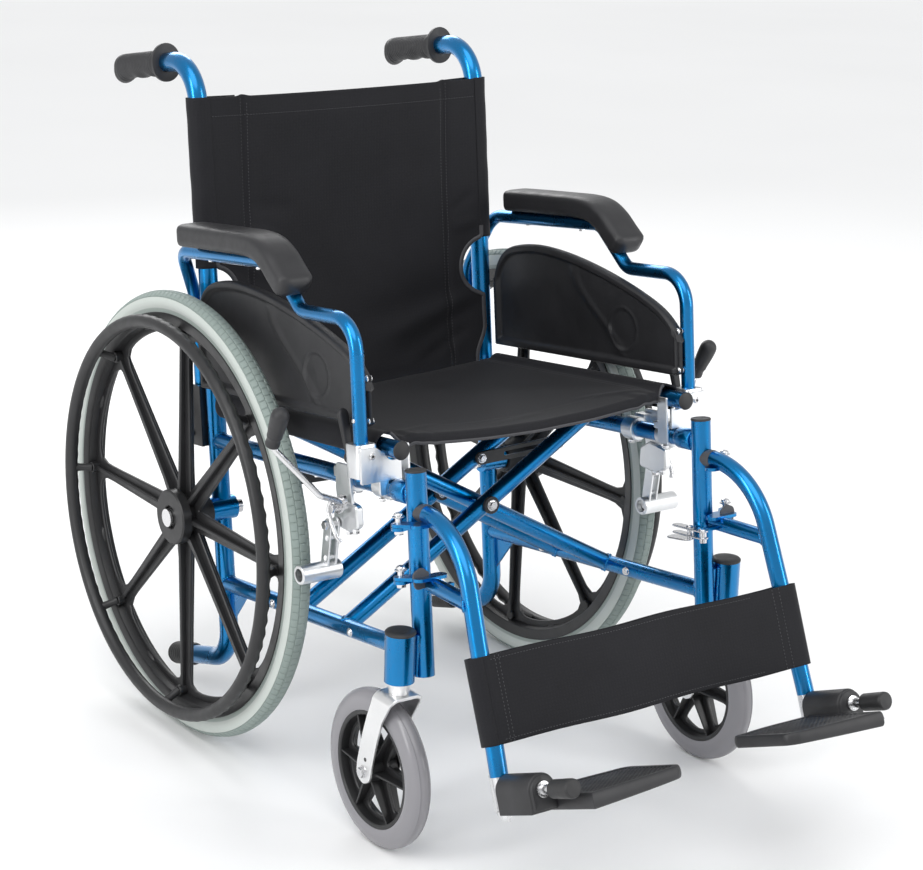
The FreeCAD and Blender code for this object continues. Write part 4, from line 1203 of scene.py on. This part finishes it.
def footplate(label, side):
    # the deck and its housing, and on the pin a rubber buffer, a spacer, a bolt and its cup
    parts = footDeck(side)
    # hinge housing: a rounded block under a barrel, with end faces stepped round the pin
    turn = np.arange(64) / 64 * tau
    c, s = np.cos(turn), np.sin(turn)
    up = s > -0.05
    hx = np.where(up, 19.2 * c, 19.2 * np.sign(c) * np.minimum(1, np.abs(c) * 3.2)) - 1.2
    hz = np.where(up, 18.5 * s, np.maximum(26.0 * s * 1.25, -25.5))
    stations = [(-11.6, 0.93), (-12.6, 1.0), (-44, 1.0), (-76.5, 1.0), (-77.8, 0.965), (-78.4, 0.90),
                (-81.0, 0.88), (-82.0, 0.82), (-82.0, 0.36)]
    rows = [footPoint(side, hx * g - 0.6, np.full(64, y), -16 + hz * g) for y, g in stations]
    parts.append(tube(np.stack(rows)))
    meshPiece(label + "_foot_rest", parts, plateBlack, label + "_footplate", 42,
              [label + "_footplate"])
    pinAxis = unit(footPoint(side, 0, -1, 0) - footPoint(side, 0, 0, 0))
    pinEnd = footPoint(side, 0, -103, -16)
    profile = [(0, 7), (0.2, 9.2), (1.6, 10.8), (34, 11.4), (37, 11.0), (38.6, 9.4), (38.8, 0.02)]
    meshPiece(label + "_pin_buffer", [tube(ringOn(pinEnd, pinAxis, profile, 40))], capBlack,
              label + "_footrest", 40, [label + "_footplate_bumper"])
    spacer = tube(ringOn(footPoint(side, 0, -82.4, -16), pinAxis,
                         [(0, 8.6), (0.1, 9.4), (2.0, 9.4), (2.2, 8.6)], 36))
    down = unit(footPoint(side, 0, 0, -1) - footPoint(side, 0, 0, 0))
    bolt = hexHead(footPoint(side, 0, 0, -44), down, 6.5, 5)
    cup = tube(ringOn(footPoint(side, 0, 0, -40), down,
                      [(-2, 9.6), (-1, 10.6), (3, 10.6), (4, 9.6)], 32))
    meshPiece(label + "_foot_fixings", [spacer, bolt, cup], zincSteel, label + "_footrest",
              35)


for label, side in (("left", 1), ("right", -1)):
    armPad(label, side)
    armPanel(label, side)
    armLatch(label, side)
    pushGrip(label, side)
    brakeGrip(label, side)
    footplate(label, side)
print("armrests, grips and footplates done")


frameLook = {"x": 220.0, "post": (-470.6, 12.7), "cane": (3.0, 12.7), "upper": (392.0, 11.0),
             "lower": (196.0, 11.0), "housing": (254.5, -480.0), "brace": (318.5, 11.0),
             "hinge": (252.0, -478.0)}
beadLook = {"size": 1.7, "swell": 0.28, "ripples": 26}


def roundOutline(corners, steps=7):
    # each (a, b, radius) corner becomes an arc that touches both of its sides
    corners = np.asarray(corners, float)
    p, r = corners[:, :2], corners[:, 2]
    back, on = unit(np.roll(p, 1, 0) - p), unit(np.roll(p, -1, 0) - p)
    half = np.arccos(np.clip((back * on).sum(1), -1, 1)) / 2
    centre = p + unit(back + on) * (r / np.sin(half))[:, None]
    cut = (r / np.tan(half))[:, None]
    first, last = p + back * cut - centre, p + on * cut - centre
    start = np.arctan2(first[:, 1], first[:, 0])
    turn = (np.arctan2(last[:, 1], last[:, 0]) - start + math.pi) % tau - math.pi
    angle = start[:, None] + turn[:, None] * np.linspace(0, 1, steps)
    arc = centre[:, None] + r[:, None, None] * np.stack([np.cos(angle), np.sin(angle)], -1)
    return arc.reshape(-1, 2)


def barOutline(start, end, half):
    # a strip round two points, with half circles at its ends
    start, end = np.asarray(start, float), np.asarray(end, float)
    along = unit(end - start) * half
    over = np.array([-along[1], along[0]])
    corners = [start - along - over, end + along - over, end + along + over, start - along + over]
    return roundOutline([(a, b, half * 0.98) for a, b in corners], 10)


def plateRows(outline, low, high, soft):
    # the outline at four depths, drawn in a little at both faces for a broken edge
    before, after = outline - np.roll(outline, 1, 0), np.roll(outline, -1, 0) - outline
    along = unit(unit(before) + unit(after))
    turning = np.sign((outline[:, 0] * np.roll(outline[:, 1], -1)
                       - outline[:, 1] * np.roll(outline[:, 0], -1)).sum())
    inner = outline + np.stack([-along[:, 1], along[:, 0]], -1) * turning * soft
    inset = abs(soft) * np.sign(high - low)
    return [(inner, low), (outline, low + inset), (outline, high - inset), (inner, high)]


def plate(outline, low, high, place, soft=0.5):
    # a flat plate: place(a, b, depth) turns the outline's points into the frame's
    rows = plateRows(outline, low, high, soft)
    grid = np.stack([place(o[:, 0], o[:, 1], np.full(len(o), d)) for o, d in rows])
    flat, faces = patch(grid, closeColumns=True)
    ring = np.arange(len(outline))
    return flat, faces + [ring[None, ::-1], ring[None] + 3 * len(outline)]


def frontView(side):
    # a plate seen from the front: (a, b, depth) are x outwards, z and y
    return lambda a, b, d: level(side * a, d, b)


def sideView(side):
    # a plate seen from the side: (a, b, depth) are y, z and x outwards
    return lambda a, b, d: level(side * d, a, b)


def slotPlate(outline, hole, low, high, place, soft=0.5):
    # a plate with one hole; outline and hole have equally many points
    rows = plateRows(outline, low, high, soft) + [(hole, high), (hole, low)]
    grid = np.stack([place(o[:, 0], o[:, 1], np.full(len(o), d)) for o, d in rows])
    return patch(grid, True, True)


def jointCurve(point, direction, radius, other, otherAxis, otherRadius, count=130):
    # each line of a round tube runs on until it is otherRadius from the other tube's axis
    a = unit(np.cross(otherAxis, direction))
    b = np.cross(direction, a)
    angle = np.arange(count)[:, None] / count * tau
    start = point + radius / 1000 * (np.cos(angle) * a + np.sin(angle) * b)
    away = start - other
    away = away - (away @ otherAxis)[:, None] * otherAxis
    run = direction - (direction @ otherAxis) * otherAxis
    square, half, rest = run @ run, away @ run, (away * away).sum(1) - (otherRadius / 1000) ** 2
    root = np.sqrt(np.clip(half ** 2 - square * rest, 0, None))
    return start + ((-half - root) / square)[:, None] * direction


def weldBead(curve, closed=True):
    # a thin tube along the joint whose radius swells with every ripple
    if closed:
        tangent = unit(np.roll(curve, -1, 0) - np.roll(curve, 1, 0))
        out = unit(curve - curve.mean(0))
    else:
        tangent = unit(np.gradient(curve, axis=0))
        out = np.array([0, 1.0, 0])
    side = unit(np.cross(tangent, out))
    out = np.cross(side, tangent)
    angle = np.arange(10)[None, :, None] / 10 * tau
    phase = np.arange(len(curve)) / len(curve) * tau * beadLook["ripples"]
    r = (beadLook["size"] + beadLook["swell"] * np.cos(phase))[:, None, None] / 1000
    grid = curve[:, None] + r * (np.cos(angle) * side[:, None] + np.sin(angle) * out[:, None])
    return patch(grid, True, True) if closed else tube(grid)


def washer(centre, axis, hole, radius, thick):
    # a flat ring with broken edges
    profile = [(0, hole), (0, radius - 0.4), (0.4, radius), (thick - 0.4, radius),
               (thick, radius - 0.4), (thick, hole)]
    return patch(ringOn(centre, axis, profile, 36), True, True)


def frameWelds(label, side):
    # beads where the side tubes and the stem housing meet the post and the cane
    x = side * frameLook["x"]
    (postY, postR), (caneY, caneR) = frameLook["post"], frameLook["cane"]
    parts = []
    for height, radius in (frameLook["upper"], frameLook["lower"]):
        for y, out, stop, big in ((-440, -1, postY, postR), (-60, 1, caneY, caneR)):
            parts.append(weldBead(jointCurve(level(x, y, height), heading(0, out, 0), radius,
                                             level(x, stop, height), heading(0, 0, 1), big)))
    housingY = frameLook["housing"][1]
    for y in (housingY - 7.6, housingY + 7.6):
        parts.append(weldBead(upright(side * 234.8, y, np.linspace(231, 283, 110)), False))
    # the collar where the upper tube is let into the post
    collar = [(0, 11.2), (0, 13.0), (1.2, 14.0), (26, 14.0), (31, 11.6), (31, 11.2)]
    parts.append(patch(ringOn(level(x, -459, 392), heading(0, 1, 0), collar, 48), True, True))
    meshPiece(label + "_frame_welds", parts, candyBlue, label + "_frame", 60)


def hangerWelds(label, side):
    # the lower arm's weld on the hanger tube, the plastic saddle whose rear follows the post's
    # round face, and the grey indexing plate beside the lower ear
    low = level(side * 237, -641, 92)
    along = unit(level(side * 237, -641, 92) - level(side * 224, -563, 372))
    arm = unit(level(side * 230, -584, 283) - level(side * 222, -488.6, 290))
    bead = weldBead(jointCurve(level(side * 223, -500, 289), arm, 10, low, along, 11))
    meshPiece(label + "_hanger_weld", [bead], candyBlue, label + "_hanger", 60)
    angle = np.arange(48) / 48 * tau
    rows = []
    for radius, share in ((10.4, 0.0), (11.5, 0.1), (11.6, 0.8), (11.2, 1.0)):
        x = radius * np.cos(angle)
        rear = -470.6 - np.sqrt(13.1 ** 2 - x ** 2)
        rows.append(level(side * (221 + x), rear + (-494.0 - rear) * share,
                          372 + radius * np.sin(angle)))
    meshPiece(label + "_hanger_saddle", [tube(np.stack(rows))], plugGrey, label + "_hanger",
              50)
    ear = roundOutline([(227, 287, 3), (246, 285, 6), (250, 306, 8), (236, 312, 6), (226, 304, 3)])
    index = plate(ear, -499.5, -496.5, frontView(side))
    meshPiece(label + "_index_plate", [index], plugGrey, label + "_hanger", 40)


def hangerPins(label, side):
    # domed heads above and nuts below the two hinge pins, and the lower rail bolts' heads
    x, y = frameLook["hinge"]
    up = heading(0, 0, 1)
    parts = []
    for z in (355.5, 291.5):
        parts.append(hexHead(level(side * x, y, z), -up, 6.2, 5.0))
        parts.append(washer(level(side * x, y, z + 15.6), up, 3.9, 7.6, 1.4))
        parts.append(dome(level(side * x, y, z + 17.4), up, 5.8, 3.6, 1.2))
    for rail in (-324, -137):
        for out in (1, -1):
            place = level(side * frameLook["x"] + out * 10.6, rail, frameLook["lower"][0])
            parts.append(washer(place, np.array([out, 0, 0.0]), 0.5, 5.6, 1.0))
            parts.append(dome(place, (out, 0, 0), 4.6, 3.2, 0.6))
    meshPiece(label + "_frame_bolts", parts, zincSteel, label + "_frame", 35)


def rubberParts(label, side):
    # flat post plug with a rolled edge, domed housing cap and ribbed tipping lever tip
    up = heading(0, 0, 1)
    plug = [(-0.5, 12.3), (0.2, 13.0), (1.6, 13.1), (2.6, 12.4), (2.9, 10.6), (2.5, 9.6), (2.4, 0.1)]
    parts = [tube(ringOn(level(side * 220, -470.6, 420), up, plug, 48))]
    hx, hy = frameLook["housing"]
    cap = [(-1, 17.6), (0.4, 18.8), (2.2, 18.9), (3.8, 17.6), (4.8, 14.4), (5.2, 9.0), (5.4, 0.1)]
    parts.append(tube(ringOn(upright(side * hx, hy, 287), (0, 0, 1), cap, 56)))
    t = np.linspace(0, 1, 60)
    ribs = 0.6 * (0.5 + 0.5 * np.cos(t * 11 * tau)) * (t > 0.08) * (t < 0.86)
    mouth = 1 - 0.06 * smooth(0.05, 0, t)
    profile = np.stack([t * 62, (15.2 + ribs) * domed(t, 0.86) * mouth], -1)
    parts.append(tube(ringOn(level(side * 220, 102, 74.6), heading(0, 61, -10), profile, 44)))
    meshPiece(label + "_rubber_fittings", parts, capBlack, label + "_frame", 40,
              [label + "_rubber_caps"])


def armSocket(label, side):
    # cast block round the arm tube, wing plate with the rail's cradle, clip and clamp ring
    top, low = 450.0, 409.0
    outer, bore = squircle(28.0, 29.0, 7, 56), circle(9.25, 56)
    rows = [(outer * 0.95, low), (outer, low + 1.4), (outer, top - 1.4), (outer * 0.95, top),
            (bore, top), (bore, low)]
    grid = np.stack([level(side * (254.3 + o[:, 0]), -407 + o[:, 1], np.full(56, z))
                     for o, z in rows])
    parts = [patch(grid, True, True)]
    turn = np.radians(np.linspace(-16, -134, 20))
    cradle = np.stack([220 + 13.0 * np.cos(turn), 441 + 13.0 * np.sin(turn)], -1)
    outline = np.vstack([[(209.5, 429.0), (209.5, 403.5), (266, 403.5), (267, 404.5), (267, 445.0),
                          (265.5, 446.5), (247, 446.5), (243, 444.5), (236, 439.5)], cradle])
    parts.append(plate(outline, -425.5, -421.4, frontView(side)))
    tab = roundOutline([(228, 386, 3), (241, 386, 3), (241, 405, 0.6), (228, 405, 0.6)])
    parts.append(plate(tab, -424.8, -421.6, frontView(side)))
    clip = roundOutline([(-428, 386, 1.5), (-409, 386, 1.5), (-409, 446, 2), (-428, 446, 2)])
    parts.append(plate(clip, 199, 202, sideView(side)))
    ring = [(0, 11.15), (0, 13.2), (0.8, 14.2), (23.2, 14.2), (24, 13.2), (24, 11.15)]
    parts.append(patch(ringOn(level(side * 220, -417, 392), heading(0, 1, 0), ring, 48), True, True))
    neck = roundOutline([(203, 402, 2), (243, 402, 2), (243, 412, 2), (203, 412, 2)])
    parts.append(plate(neck, -416, -396, frontView(side), 0.9))
    meshPiece(label + "_socket_casting", parts, castAluminium, label + "_frame", 32,
              [label + "_arm_socket"])
    ahead, down = heading(0, -1, 0), heading(0, 0, -1)
    bolts = [tube(ringOn(level(side * 251, -425.4, 436), ahead,
                         [(0, 4.2), (1.8, 4.2), (2.4, 3.6)], 32))]
    bolts += [hexHead(level(side * x, -405, 378.5), down, 4.6, 4.0) for x in (215, 226)]
    meshPiece(label + "_socket_bolts", bolts, zincSteel, label + "_frame", 35)
    key = tube(ringOn(level(side * 251, -427.7, 436), ahead, [(-0.4, 2.0), (0.25, 2.0)], 6))
    meshPiece(label + "_socket_key_hole", [key], blackSteel, label + "_frame", 35)
    stud = dome(level(side * 262.6, -407, 478), (side, 0, 0), 3.0, 1.8, 0.3)
    meshPiece(label + "_arm_stud", [stud], zincSteel, label + "_armrest", 35)


def brakeParts(label, side):
    # clamp, hanging plate and cast foot on the frame; two link plates, rivets and the hollow
    # shoe tube on the swinging link; a bent wire that follows the lever
    ring = [(0, 11.15), (0, 14.6), (1, 15.8), (21, 15.8), (22, 14.6), (22, 11.15)]
    parts = [patch(ringOn(level(side * 220, -347, 392), heading(0, 1, 0), ring, 48), True, True)]
    hanging = roundOutline([(-363, 415, 3), (-333, 415, 3), (-330, 384, 6), (-334, 356, 4),
                            (-368, 352, 4), (-364, 384, 6)])
    parts.append(plate(hanging, 240.5, 245, sideView(side), 0.8))
    flange = roundOutline([(228, 396, 2), (244, 396, 2), (244, 410, 3), (228, 410, 3)])
    parts.append(plate(flange, -346, -326, frontView(side), 0.8))
    cast = roundOutline([(-377, 366, 6), (-344, 372, 4), (-326, 362, 5), (-322, 336, 6),
                         (-358, 331, 6), (-378, 340, 6)])
    parts.append(plate(cast, 236, 246, sideView(side), 2.0))
    meshPiece(label + "_brake_casting", parts, castAluminium, label + "_frame", 34,
              [label + "_brake_bracket"])
    down = heading(0, 0, -1)
    bolts = [tube(ringOn(level(side * 242, y, z), (side, 0, 0), [(0, 4), (22, 4)], 24))
             for y, z in ((-351, 363), (-333, 339))]
    bolts += [hexHead(level(side * 262.5, y, z), (side, 0, 0), 6.0, 4.2)
              for y, z in ((-351, 363), (-333, 339))]
    bolts += [hexHead(level(side * 241, y, z), down, 4.8, 6.0) for y, z in ((-351, 333), (-366, 336))]
    bolts += [hexHead(level(side * x, -336, 377), down, 4.8, 4.0) for x in (215, 226)]
    meshPiece(label + "_brake_bolts", bolts, zincSteel, label + "_frame", 35)
    link = barOutline((-333, 339), (-319.5, 281), 8.0)
    parts = [plate(link, near, far, sideView(side)) for near, far in ((247.2, 250.2), (258.6, 261.2))]
    for z in (322, 296):
        y = -319.5 - (z - 279.5) * 13.5 / 59.5
        parts.append(tube(ringOn(level(side * 250, y, z), (side, 0, 0), [(0, 3), (8.6, 3)], 20)))
        parts.append(dome(level(side * 261, y, z), (side, 0, 0), 4.2, 2.2, 0.3))
    shoe = [(0, 8.4), (0, 11.2), (1, 12.0), (56, 12.0), (57, 11.2), (57, 8.4), (52, 8.2), (5, 8.2)]
    parts.append(patch(ringOn(level(side * 240, -319.5, 279.5), (side, 0, 0), shoe, 44), True, True))
    meshPiece(label + "_brake_linkage", parts, castAluminium, label + "_brake_shoe", 34,
              [label + "_brake_shoe"])
    wire = spline([(264.5, -349, 372), (265, -344, 360), (265, -350, 344), (264, -357, 330),
                   (260, -361, 322)], 40)
    path = level(side * wire[:, 0], wire[:, 1], wire[:, 2])
    meshPiece(label + "_brake_wire", [tube(sweep(path, circle(2.6, 16), (side, 0, 0)))], zincSteel,
              label + "_brake_lever", 50)


forkLook = {"half": 22.0, "thick": 4.0, "bend": 9.0, "crown": 210.0, "foot": (-441.5, 100.0, 15.0),
            "front": [(100, -456.5), (112, -459.5), (150, -469.5), (176, -478.5), (196, -491),
                      (207, -498), (214, -500)],
            "rear": [(100, -426.5), (112, -428), (150, -438), (176, -447), (196, -455.5),
                     (207, -459), (214, -460)]}


def casterFork(label, side):
    # a strip bent like a U: its path runs up one leg, round two bends and down the other, and
    # at each height it reaches from the front line to the rear line
    look = forkLook
    half, bend, crown = look["half"], look["bend"], look["crown"]
    footY, footZ, footR = look["foot"]
    hx, hy = frameLook["housing"]
    axle, wheelZ = casterLook["y"], casterLook["radius"]
    leg = np.stack([np.full(50, half), np.linspace(footZ - footR + 0.2, crown - bend, 50)], -1)
    turn = np.linspace(0, math.pi / 2, 12)[1:]
    corner = np.stack([half - bend + bend * np.cos(turn), crown - bend + bend * np.sin(turn)], -1)
    right = np.vstack([leg, corner, [(4.0, crown)]])
    path = np.vstack([right, right[::-1] * (-1, 1)])
    normal = unit(np.gradient(path, axis=0))[:, ::-1] * (1, -1)
    x, z = path[:, 0], path[:, 1]
    fronts, rears = np.array(look["front"], float), np.array(look["rear"], float)
    bow = np.sqrt(np.clip(footR ** 2 - (footZ - z) ** 2, 0, None))
    front = np.where(z < footZ, footY - bow, np.interp(z, fronts[:, 0], fronts[:, 1]))
    rear = np.where(z < footZ, footY + bow, np.interp(z, rears[:, 0], rears[:, 1]))
    wide = look["thick"] / 2
    ring = [(-wide, 0.8, 0), (-wide + 0.8, 0, 0), (wide - 0.8, 0, 0), (wide, 0.8, 0),
            (wide, -0.8, 1), (wide - 0.8, 0, 1), (-wide + 0.8, 0, 1), (-wide, -0.8, 1)]
    grid = np.stack([upright(side * hx + x + out * normal[:, 0], (rear if back else front) + soft,
                             z + out * normal[:, 1]) for out, soft, back in ring], 1)
    parts = [tube(grid)]
    stem = [(0, 8.0), (0, 11.0), (1.2, 12.4), (5, 12.8), (10, 13.6), (14, 15.6), (15.4, 15.6),
            (15.4, 8.0)]
    parts.append(tube(ringOn(upright(side * hx, hy, 211.2), (0, 0, 1), stem, 48)))
    meshPiece(label + "_fork_strip", parts, forkSilver, label + "_caster_fork", 34,
              [label + "_caster_fork"])
    nut = hexHead(upright(side * hx, hy, 208), (0, 0, -1), 9.5, 5.0)
    meshPiece(label + "_stem_nut", [nut], zincSteel, label + "_caster_fork", 34)
    spots = [tube(ringOn(upright(side * hx + out * 23.7, -446, 117.5), (out, 0, 0),
                         [(0, 2.6), (0.5, 2.6)], 24)) for out in (1, -1)]
    meshPiece(label + "_fork_holes", spots, blackSteel, label + "_caster_fork", 34)
    bolt = [tube(ringOn(upright(side * hx - 28, axle, wheelZ), (1, 0, 0), [(0, 3.9), (56, 3.9)], 24))]
    for out in (1, -1):
        centre = upright(side * hx + out * 24.0, axle, wheelZ)
        bolt.append(washer(centre, np.array([out, 0, 0.0]), 3.5, 8.0, 1.2))
        bolt.append(hexHead(centre + np.array([out * 0.0012, 0, 0]), (out, 0, 0), 6.6, 4.6))
        bolt.append(tube(ringOn(upright(side * hx + out * 19.2, axle, wheelZ), (out, 0, 0),
                                [(0, 7.0), (0.9, 7.0)], 24)))
    meshPiece(label + "_caster_bolt", bolt, zincSteel, label + "_caster_fork", 35,
              [label + "_caster_axle"])


def releaseLever(label, side):
    # two thin plates on a pin and a rounded thumb paddle under them
    def flat(a, b, d):
        return level(side * a, b, d)

    strip = barOutline((198, -496), (198, -446), 6.5)
    paddle = barOutline((198, -462), (195, -443), 9.5)
    parts = [plate(strip, 281.0, 283.4, flat), plate(strip, 272.0, 274.2, flat),
             plate(paddle, 265.6, 267.6, flat, 0.7)]
    up = heading(0, 0, 1)
    for y, radius in ((-496, 4.5), (-470, 3.2)):
        parts.append(tube(ringOn(level(side * 198, y, 267), up, [(0, radius), (17, radius)], 24)))
        parts.append(dome(level(side * 198, y, 283.6), up, radius + 1.5, 2.0, 0.4))
    meshPiece(label + "_release_lever", parts, zincSteel, label + "_hanger_latch", 36,
              [label + "_hanger_latch"])


def footStrap(label, side):
    # a steel strip down behind the footplate's housing and turned under it
    path = spline([(2, 11.5, 2), (2, 12.0, -20), (2, 11.0, -38), (2, 4.5, -44.5), (2, -8, -45.5)], 50)
    points = footPoint(side, path[:, 0], path[:, 1], path[:, 2])
    reference = footPoint(side, 0, 1, 0) - footPoint(side, 1, 1, 0)
    strip = sweep(points, squircle(13.0, 2.2, 6, 20), reference)
    meshPiece(label + "_foot_strap", [tube(strip)], zincSteel, label + "_footrest", 40)


def linkFittings(label, side):
    # a slotted bar between a frame and a diagonal, with a bolt at each end
    y = -203.5 if side > 0 else -146.5
    bar = barOutline((195, 358), (64.6, 354.5), 8.8)
    slot = barOutline((160, 357.1), (104, 355.6), 3.0)
    strip = slotPlate(bar, slot, y, y + 4, frontView(side))
    meshPiece(label + "_link_strip", [strip], blackSteel, label + "_link", 36,
              [label + "_link_bar"])
    bolts = []
    for x, z in ((195, 358), (64.6, 354.5)):
        bolts.append(washer(level(side * x, y, z), heading(0, -1, 0), 0.5, 6.6, 1.0))
        bolts.append(hexHead(level(side * x, y - 1, z), heading(0, -1, 0), 5.2, 3.6))
    bolts.append(washer(level(side * 64.6, y + 4, 354.5), heading(0, 1, 0), 0.5, 6.6, 1.2))
    meshPiece(label + "_link_bolts", bolts, zincSteel, label + "_link", 36)


def braceFittings():
    # welds at both ends of every diagonal, and the two centre bolts with rubber washers
    middle, radius = frameLook["brace"]
    for body, low, rows in (("cross_brace_a", -1, (-298, -187)), ("cross_brace_b", 1, (-270, -159))):
        parts = []
        for y in rows:
            for end, z in ((low, 196), (-low, 441)):
                toward = heading(end * 220, 0, z - middle)
                parts.append(weldBead(jointCurve(level(0, y, middle), toward, radius,
                                                 level(end * 220, y, z), heading(0, 1, 0), 11.0)))
        meshPiece(body + "_welds", parts, candyBlue, body, 60)
    steel, rubber = [], []
    ahead = heading(0, -1, 0)
    for front, rear in ((-298, -270), (-187, -159)):
        head, nut = front - radius, rear + radius
        steel.append(tube(ringOn(level(0, head - 4, middle), -ahead,
                                 [(0, 5), (nut - head + 9, 5)], 24)))
        rubber.append(washer(level(0, head, middle), ahead, 5.5, 11.4, 5.0))
        steel.append(washer(level(0, head - 4.6, middle), ahead, 4.5, 7.6, 1.2))
        steel.append(hexHead(level(0, head - 5.8, middle), ahead, 5.8, 3.8))
        steel.append(washer(level(0, nut + 0.4, middle), -ahead, 5.2, 9.0, 1.6))
        steel.append(hexHead(level(0, nut + 2, middle), -ahead, 6.6, 4.6))
    meshPiece("brace_centre_bolts", steel, zincSteel, "cross_brace_a", 35,
              ["brace_bolts"])
    meshPiece("brace_washers", rubber, capBlack, "cross_brace_a", 40)


for label, side in (("left", 1), ("right", -1)):
    frameWelds(label, side)
    hangerWelds(label, side)
    hangerPins(label, side)
    rubberParts(label, side)
    armSocket(label, side)
    brakeParts(label, side)
    casterFork(label, side)
    releaseLever(label, side)
    footStrap(label, side)
    linkFittings(label, side)
braceFittings()
print("welds, bolts and castings done")
